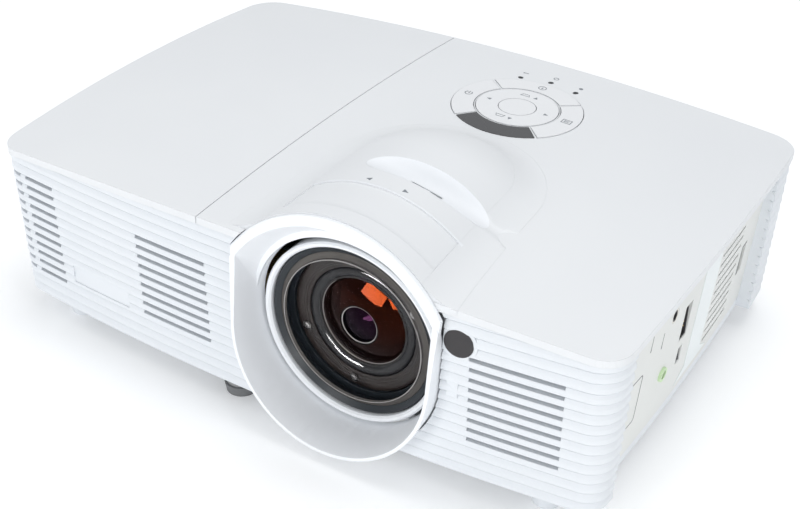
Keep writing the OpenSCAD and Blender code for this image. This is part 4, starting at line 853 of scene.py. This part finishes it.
def filled_mark(name, tree, corners, finish, body, way=DOWN, film=INK_FILM):
    """corners: 3-D points in millimetres, round the sign's edge."""
    bpy.ops.object.select_all(action="DESELECT")
    bpy.ops.mesh.primitive_circle_add(
        vertices=len(corners), radius=0.01, fill_type="NGON", location=(0, 0, 0)
    )
    made = bpy.context.object
    made.name = name
    for vertex, corner in zip(made.data.vertices, corners):
        vertex.co = dropped(tree, Vector(mm(*corner)), way, film / 2)
    return thickened(made, finish, body, film)


def line_mark(
    name, tree, path, width, finish, body, way=DOWN, closed=False, film=INK_FILM
):
    """path: 3-D points in millimetres along the middle of the line."""
    points = [Vector(p) for p in path]
    if closed:
        points.append(points[0])
    count = len(points)
    bpy.ops.object.select_all(action="DESELECT")
    bpy.ops.mesh.primitive_grid_add(x_subdivisions=count - 1, y_subdivisions=1, size=1, location=(0, 0, 0))
    made = bpy.context.object
    made.name = name
    for vertex in made.data.vertices:
        at = round((vertex.co.x + 0.5) * (count - 1))
        side = 1 if vertex.co.y > 0 else -1
        before = points[at - 1] if at > 0 else (points[-2] if closed else points[0])
        after = points[at + 1] if at < count - 1 else (points[1] if closed else points[-1])
        first, second = points[at] - before, after - points[at]
        first, second = (first or second).normalized(), (second or first).normalized()
        along = (first + second).normalized()
        across = along.cross(Vector(way)).normalized()
        mitre = 1 / max(0.5, along.dot(first))
        vertex.co = dropped(tree, (points[at] + across * (side * mitre * width / 2)) / 1000, way, film / 2)
    return thickened(made, finish, body, film)


UP = 140.0


def ring_points(x, y, radius, count=32, z=UP, start=0.0, end=360.0):
    turn = math.radians(end - start)
    whole = abs(end - start) >= 360
    steps = count if whole else count - 1
    angles = [math.radians(start) + turn * k / steps for k in range(count)]
    return [(x + radius * math.cos(a), y + radius * math.sin(a), z) for a in angles]


ink_grey = moulded("ink_grey", (0.24, 0.26, 0.285), (0.20, 0.22, 0.24), (0.4, 0.5), 1500, 0.000004, 0)
lamp_dark = moulded(
    "indicator_dark", (0.070, 0.074, 0.080), (0.045, 0.048, 0.053), (0.18, 0.26), 900, 0.000003, 0
)
print("mark helpers ready")

# %% [markdown]
# ## Step 19: marks on the key group
# Four small arrows sit on the direction pad, and two keystone signs between them. The power key
# has an arc with a stroke, the menu key a small page with lines, and the third key a ring with a
# stroke. Behind the keys are three indicator lights with a sign behind each: a dash, a ring and a
# dot.

# %% Arrows and keystone signs on the pad
pad = tree_of("direction_pad")


def arrow(name, x, y, way, size=1.35):
    a = math.radians(way)
    turns = (a, a + 2.25, a - 2.25)
    corners = [(x + size * math.cos(turn), y + size * math.sin(turn), UP) for turn in turns]
    filled_mark(name, pad, corners, ink_grey, "direction_pad")


arrow("arrow_left", 20.1, 53.2, 180)
arrow("arrow_right", 49.5, 53.7, 0)
arrow("arrow_back", 38.0, 66.7, 90)
arrow("arrow_front", 37.6, 40.1, -90)
HALF_SIGN = 0.9
for name, x, y, wide, narrow in (
    ("keystone_back", 32.4, 67.0, 2.3, 1.5),
    ("keystone_front", 32.5, 40.3, 1.5, 2.3),
):
    near, far = y - HALF_SIGN, y + HALF_SIGN
    outline = [(x - wide, near, UP), (x + wide, near, UP), (x + narrow, far, UP), (x - narrow, far, UP)]
    line_mark(name, pad, outline, 0.3, ink_grey, "direction_pad", closed=True)

# %% Power arc, menu page and third key's ring
power = tree_of("power_key")
power_arc = ring_points(9.1, 52.9, 1.75, 20, UP, 125, 415)
line_mark("power_arc", power, power_arc, 0.45, ink_grey, "power_key")
power_stroke = [(9.1, 52.9, UP), (9.1, 54.0, UP), (9.1, 55.0, UP)]
line_mark("power_stroke", power, power_stroke, 0.45, ink_grey, "power_key")
menu = tree_of("menu_key")
page = [(58.3, 51.9, UP), (62.7, 51.9, UP), (62.7, 55.3, UP), (58.3, 55.3, UP)]
line_mark("menu_page", menu, page, 0.4, ink_grey, "menu_key", closed=True)
for k in range(2):
    y = 53.1 + 1.1 * k
    menu_line = [(59.2, y, UP), (60.5, y, UP), (61.8, y, UP)]
    line_mark(f"menu_line_{k}", menu, menu_line, 0.35, ink_grey, "menu_key")
third = tree_of("info_key")
line_mark("info_ring", third, ring_points(35.2, 79.4, 1.9, 32), 0.4, ink_grey, "info_key", closed=True)
info_stroke = [(35.2, 78.6, UP), (35.2, 79.4, UP), (35.2, 80.2, UP)]
line_mark("info_stroke", third, info_stroke, 0.45, ink_grey, "info_key")

# %% Indicators and the signs behind them
lights_at = ((20.7, 84.7), (35.4, 88.5), (50.1, 85.6))
for k, (x, y) in enumerate(lights_at):
    disc = ring_points(x, y, 1.25, 28)
    filled_mark(f"indicator_{k}", None, disc, lamp_dark, "case", film=0.0001)
line_mark("sign_dash", None, [(19.0, 91.1, UP), (20.3, 91.3, UP), (21.7, 91.5, UP)], 0.55, ink_grey, "case")
line_mark("sign_ring", None, ring_points(35.3, 94.5, 1.2, 24), 0.4, ink_grey, "case", closed=True)
filled_mark("sign_drop", None, ring_points(50.1, 91.5, 1.05, 20), ink_grey, "case")

# %% Focus marks on the dome, and a painted highlight along the plate's rear edge
dome_skin = tree_of("top_cover")
for name, angle, way in (("focus_mark_left", 96.6, 1), ("focus_mark_right", 80.2, -1)):
    middle_angle = math.radians(angle)
    corners = []
    for across, along in ((1.5 * way, 0.0), (-0.9 * way, 1.15), (-0.9 * way, -1.15)):
        a = middle_angle + across / DOME_R
        corners.append((AXIS_X + DOME_R * math.cos(a), -64.5 + along, UP))
    filled_mark(name, dome_skin, corners, ink_grey, "case")
PLATE_FROM, PLATE_SPAN, PLATE_Y = 49, 73, -68.5
plate_angles = [math.radians(PLATE_FROM + PLATE_SPAN * k / 40) for k in range(41)]
plate_path = [(AXIS_X + DOME_R * math.cos(a), PLATE_Y, UP) for a in plate_angles]
# Painted highlight: a line in the brighter white along the plate recess's rear edge, for the light that the
# edge catches.
line_mark("plate_edge", dome_skin, plate_path, 0.9, painted_light_white, "case", film=0.0002)
inked = [o.name for o in bpy.data.objects if o.material_slots and o.active_material == ink_grey]
print("marks in grey ink:", len(inked))

# %% [markdown]
# ## Step 20: the connector panel's small pieces
# The panel on the right carries more than holes. A pale band runs down it between the sockets and
# the louvres, one audio socket has a pale green collar round a flat black disc that is painted shade
# for its hole, and there is a thin empty frame near the front corner. Short lines stand beside two
# sockets, and a black line along the security slit is painted shadow for the slit. All of them are
# dropped onto the panel from the side, with the helpers that made the marks on top.

# %% Band, green collar and bare frame
panel = tree_of("io_panel")
INWARD = (-1, 0, 0)
OUT_X = 180.0
band_pale = moulded("panel_band_pale", (0.84, 0.88, 0.885), (0.81, 0.85, 0.86), (0.4, 0.5))
collar_green = moulded("collar_green", (0.62, 0.80, 0.50), (0.54, 0.74, 0.44), (0.3, 0.4), 1500, 0.00001, 0)
# Black print, also used as painted shade in the audio socket's hole and as painted shadow along the security
# slit.
print_and_painted_shade_black = moulded(
    "print_and_painted_shade_black", (0.060, 0.062, 0.066), (0.040, 0.042, 0.046), (0.4, 0.5), 1500, 0.000004, 0
)


def on_side(points):
    """Turns (y, z) points into starting points outside the right wall."""
    return [(OUT_X, y, z) for y, z in points]


def yz_ring(y, z, radius, count=32):
    angles = [2 * math.pi * k / count for k in range(count)]
    return on_side([(y + radius * math.cos(a), z + radius * math.sin(a)) for a in angles])


def yz_frame(y0, z0, y1, z1, corner=1.6, steps=5):
    """A frame's path with round corners, from the upper rear corner round to the lower rear one."""
    front, rear, low, high = y0 + corner, y1 - corner, z0 + corner, z1 - corner
    points = []
    for cy, cz, start in ((rear, high, 0), (front, high, 90), (front, low, 180), (rear, low, 270)):
        for k in range(steps):
            a = math.radians(start + 90 * k / (steps - 1))
            points.append((cy + corner * math.cos(a), cz + corner * math.sin(a)))
    return on_side(points)


band_path = on_side([(12.5, 20 + 5.0 * k) for k in range(13)])
line_mark("panel_band", panel, band_path, 19, band_pale, "case", INWARD, film=0.0002)
collar = yz_ring(-29, 41.5, 2.7)
line_mark("audio_out_collar", panel, collar, 1.2, collar_green, "case", INWARD, True, 0.0012)
# Painted shade: a flat black disc in the collar stands for the socket's dark hole.
filled_mark("audio_out_bore", panel, yz_ring(-29, 41.5, 2.15), print_and_painted_shade_black, "case", INWARD, film=0.0003)
socket_frame = yz_frame(-64, 33, -53, 57)
line_mark("socket_group_frame", panel, socket_frame, 0.45, print_and_painted_shade_black, "case", INWARD, closed=True)
for k, (y, z0, z1) in enumerate(((-50.0, 66.0, 74.0), (-37.5, 60.0, 68.0))):
    socket_line = on_side([(y, z0), (y, (z0 + z1) / 2), (y, z1)])
    line_mark(f"socket_line_{k}", panel, socket_line, 0.35, print_and_painted_shade_black, "case", INWARD)
# Painted shadow: a black line along the security slit's edge stands for the shade in the slit.
lock_slot_shadow_path = on_side([(60.7, 41.0), (60.7, 48.0), (60.7, 56.0), (66.5, 56.3)])
line_mark("lock_slot_edge", panel, lock_slot_shadow_path, 1.1, print_and_painted_shade_black, "case", INWARD)
print("panel pieces in place")

# %% [markdown]
# ## Step 21: inside the sockets
# A socket is a dark well with metal in it. The video socket has three rows of flat pins, the
# service socket has a tongue, and the audio socket has a bright sleeve. The power inlet at the
# back has three blades. Each pin starts as a cube that is stretched, tapered at its tip and
# bevelled, and its copies stand beside it.


# %% Pins and blades
TIP_SHARE = 0.7


def pin(name, place, size, finish, body="case", along="x"):
    """A blade: a stretched block whose outer end is drawn in, with its long edges bevelled."""
    bpy.ops.object.select_all(action="DESELECT")
    bpy.ops.mesh.primitive_cube_add(size=1, location=mm(*place))
    made = bpy.context.object
    made.name = name
    made.scale = mm(*size)
    bpy.ops.object.transform_apply(location=True, rotation=True, scale=True)
    axis = 0 if along == "x" else 1
    centre = Vector(mm(*place))
    for vertex in made.data.vertices:
        if vertex.co[axis] > centre[axis]:
            for other in range(3):
                if other != axis:
                    vertex.co[other] = centre[other] + (vertex.co[other] - centre[other]) * TIP_SHARE
    rounding = made.modifiers.new("rounding", "BEVEL")
    rounding.width = 0.00012
    rounding.segments = 2
    bpy.ops.object.modifier_apply(modifier="rounding")
    return finished(made, finish, body, 40)


for socket in ("video_port", "service_port", "power_inlet", "audio_jack"):
    socket_low, socket_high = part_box(socket)
    print(socket, "box:", [round(1000 * v, 2) for v in (*socket_low, *socket_high)])

# %% Pins of each socket
pin_steel = metal("pin_steel", (0.80, 0.78, 0.72), (0.62, 0.60, 0.55), (0.2, 0.32), (1, 1, 8), 400)
for row in range(3):
    for place in range(5):
        pin_place = (148.0, -12.9 + 1.9 * row, 54.0 + 2.25 * place)
        pin(f"video_pin_{row}_{place}", pin_place, (1.5, 0.5, 0.9), gold_contact)
pin("service_tongue", (147.0, -10, 40), (2.0, 1.6, 5.4), pin_steel)
for k, (x, z) in enumerate(((-97.0, 33.5), (-92.0, 38.0), (-87.0, 33.5))):
    pin(f"inlet_blade_{k}", (x, 103.0, z), (1.6, 9.0, 4.2), pin_steel, along="y")

# %% Sleeve of the audio socket, turned round Y and then stood along X
JACK_Y, JACK_Z = -0.028, 0.071
jack_ring = [(2.35, -150.35), (2.6, -150.66), (3.1, -150.72), (3.35, -150.5)]
jack_ring += [(3.35, -150.2), (2.35, -150.2), (2.35, -150.35)]
sleeve = lathe("audio_jack_sleeve", jack_ring, 48, (0, 0))
for vertex in sleeve.data.vertices:
    x, y, z = vertex.co
    vertex.co = (-y, x + JACK_Y, z + JACK_Z)
bpy.ops.object.mode_set(mode="EDIT")
bpy.ops.mesh.select_all(action="SELECT")
bpy.ops.mesh.normals_make_consistent(inside=False)
bpy.ops.object.mode_set(mode="OBJECT")
finished(sleeve, pin_steel, "case")
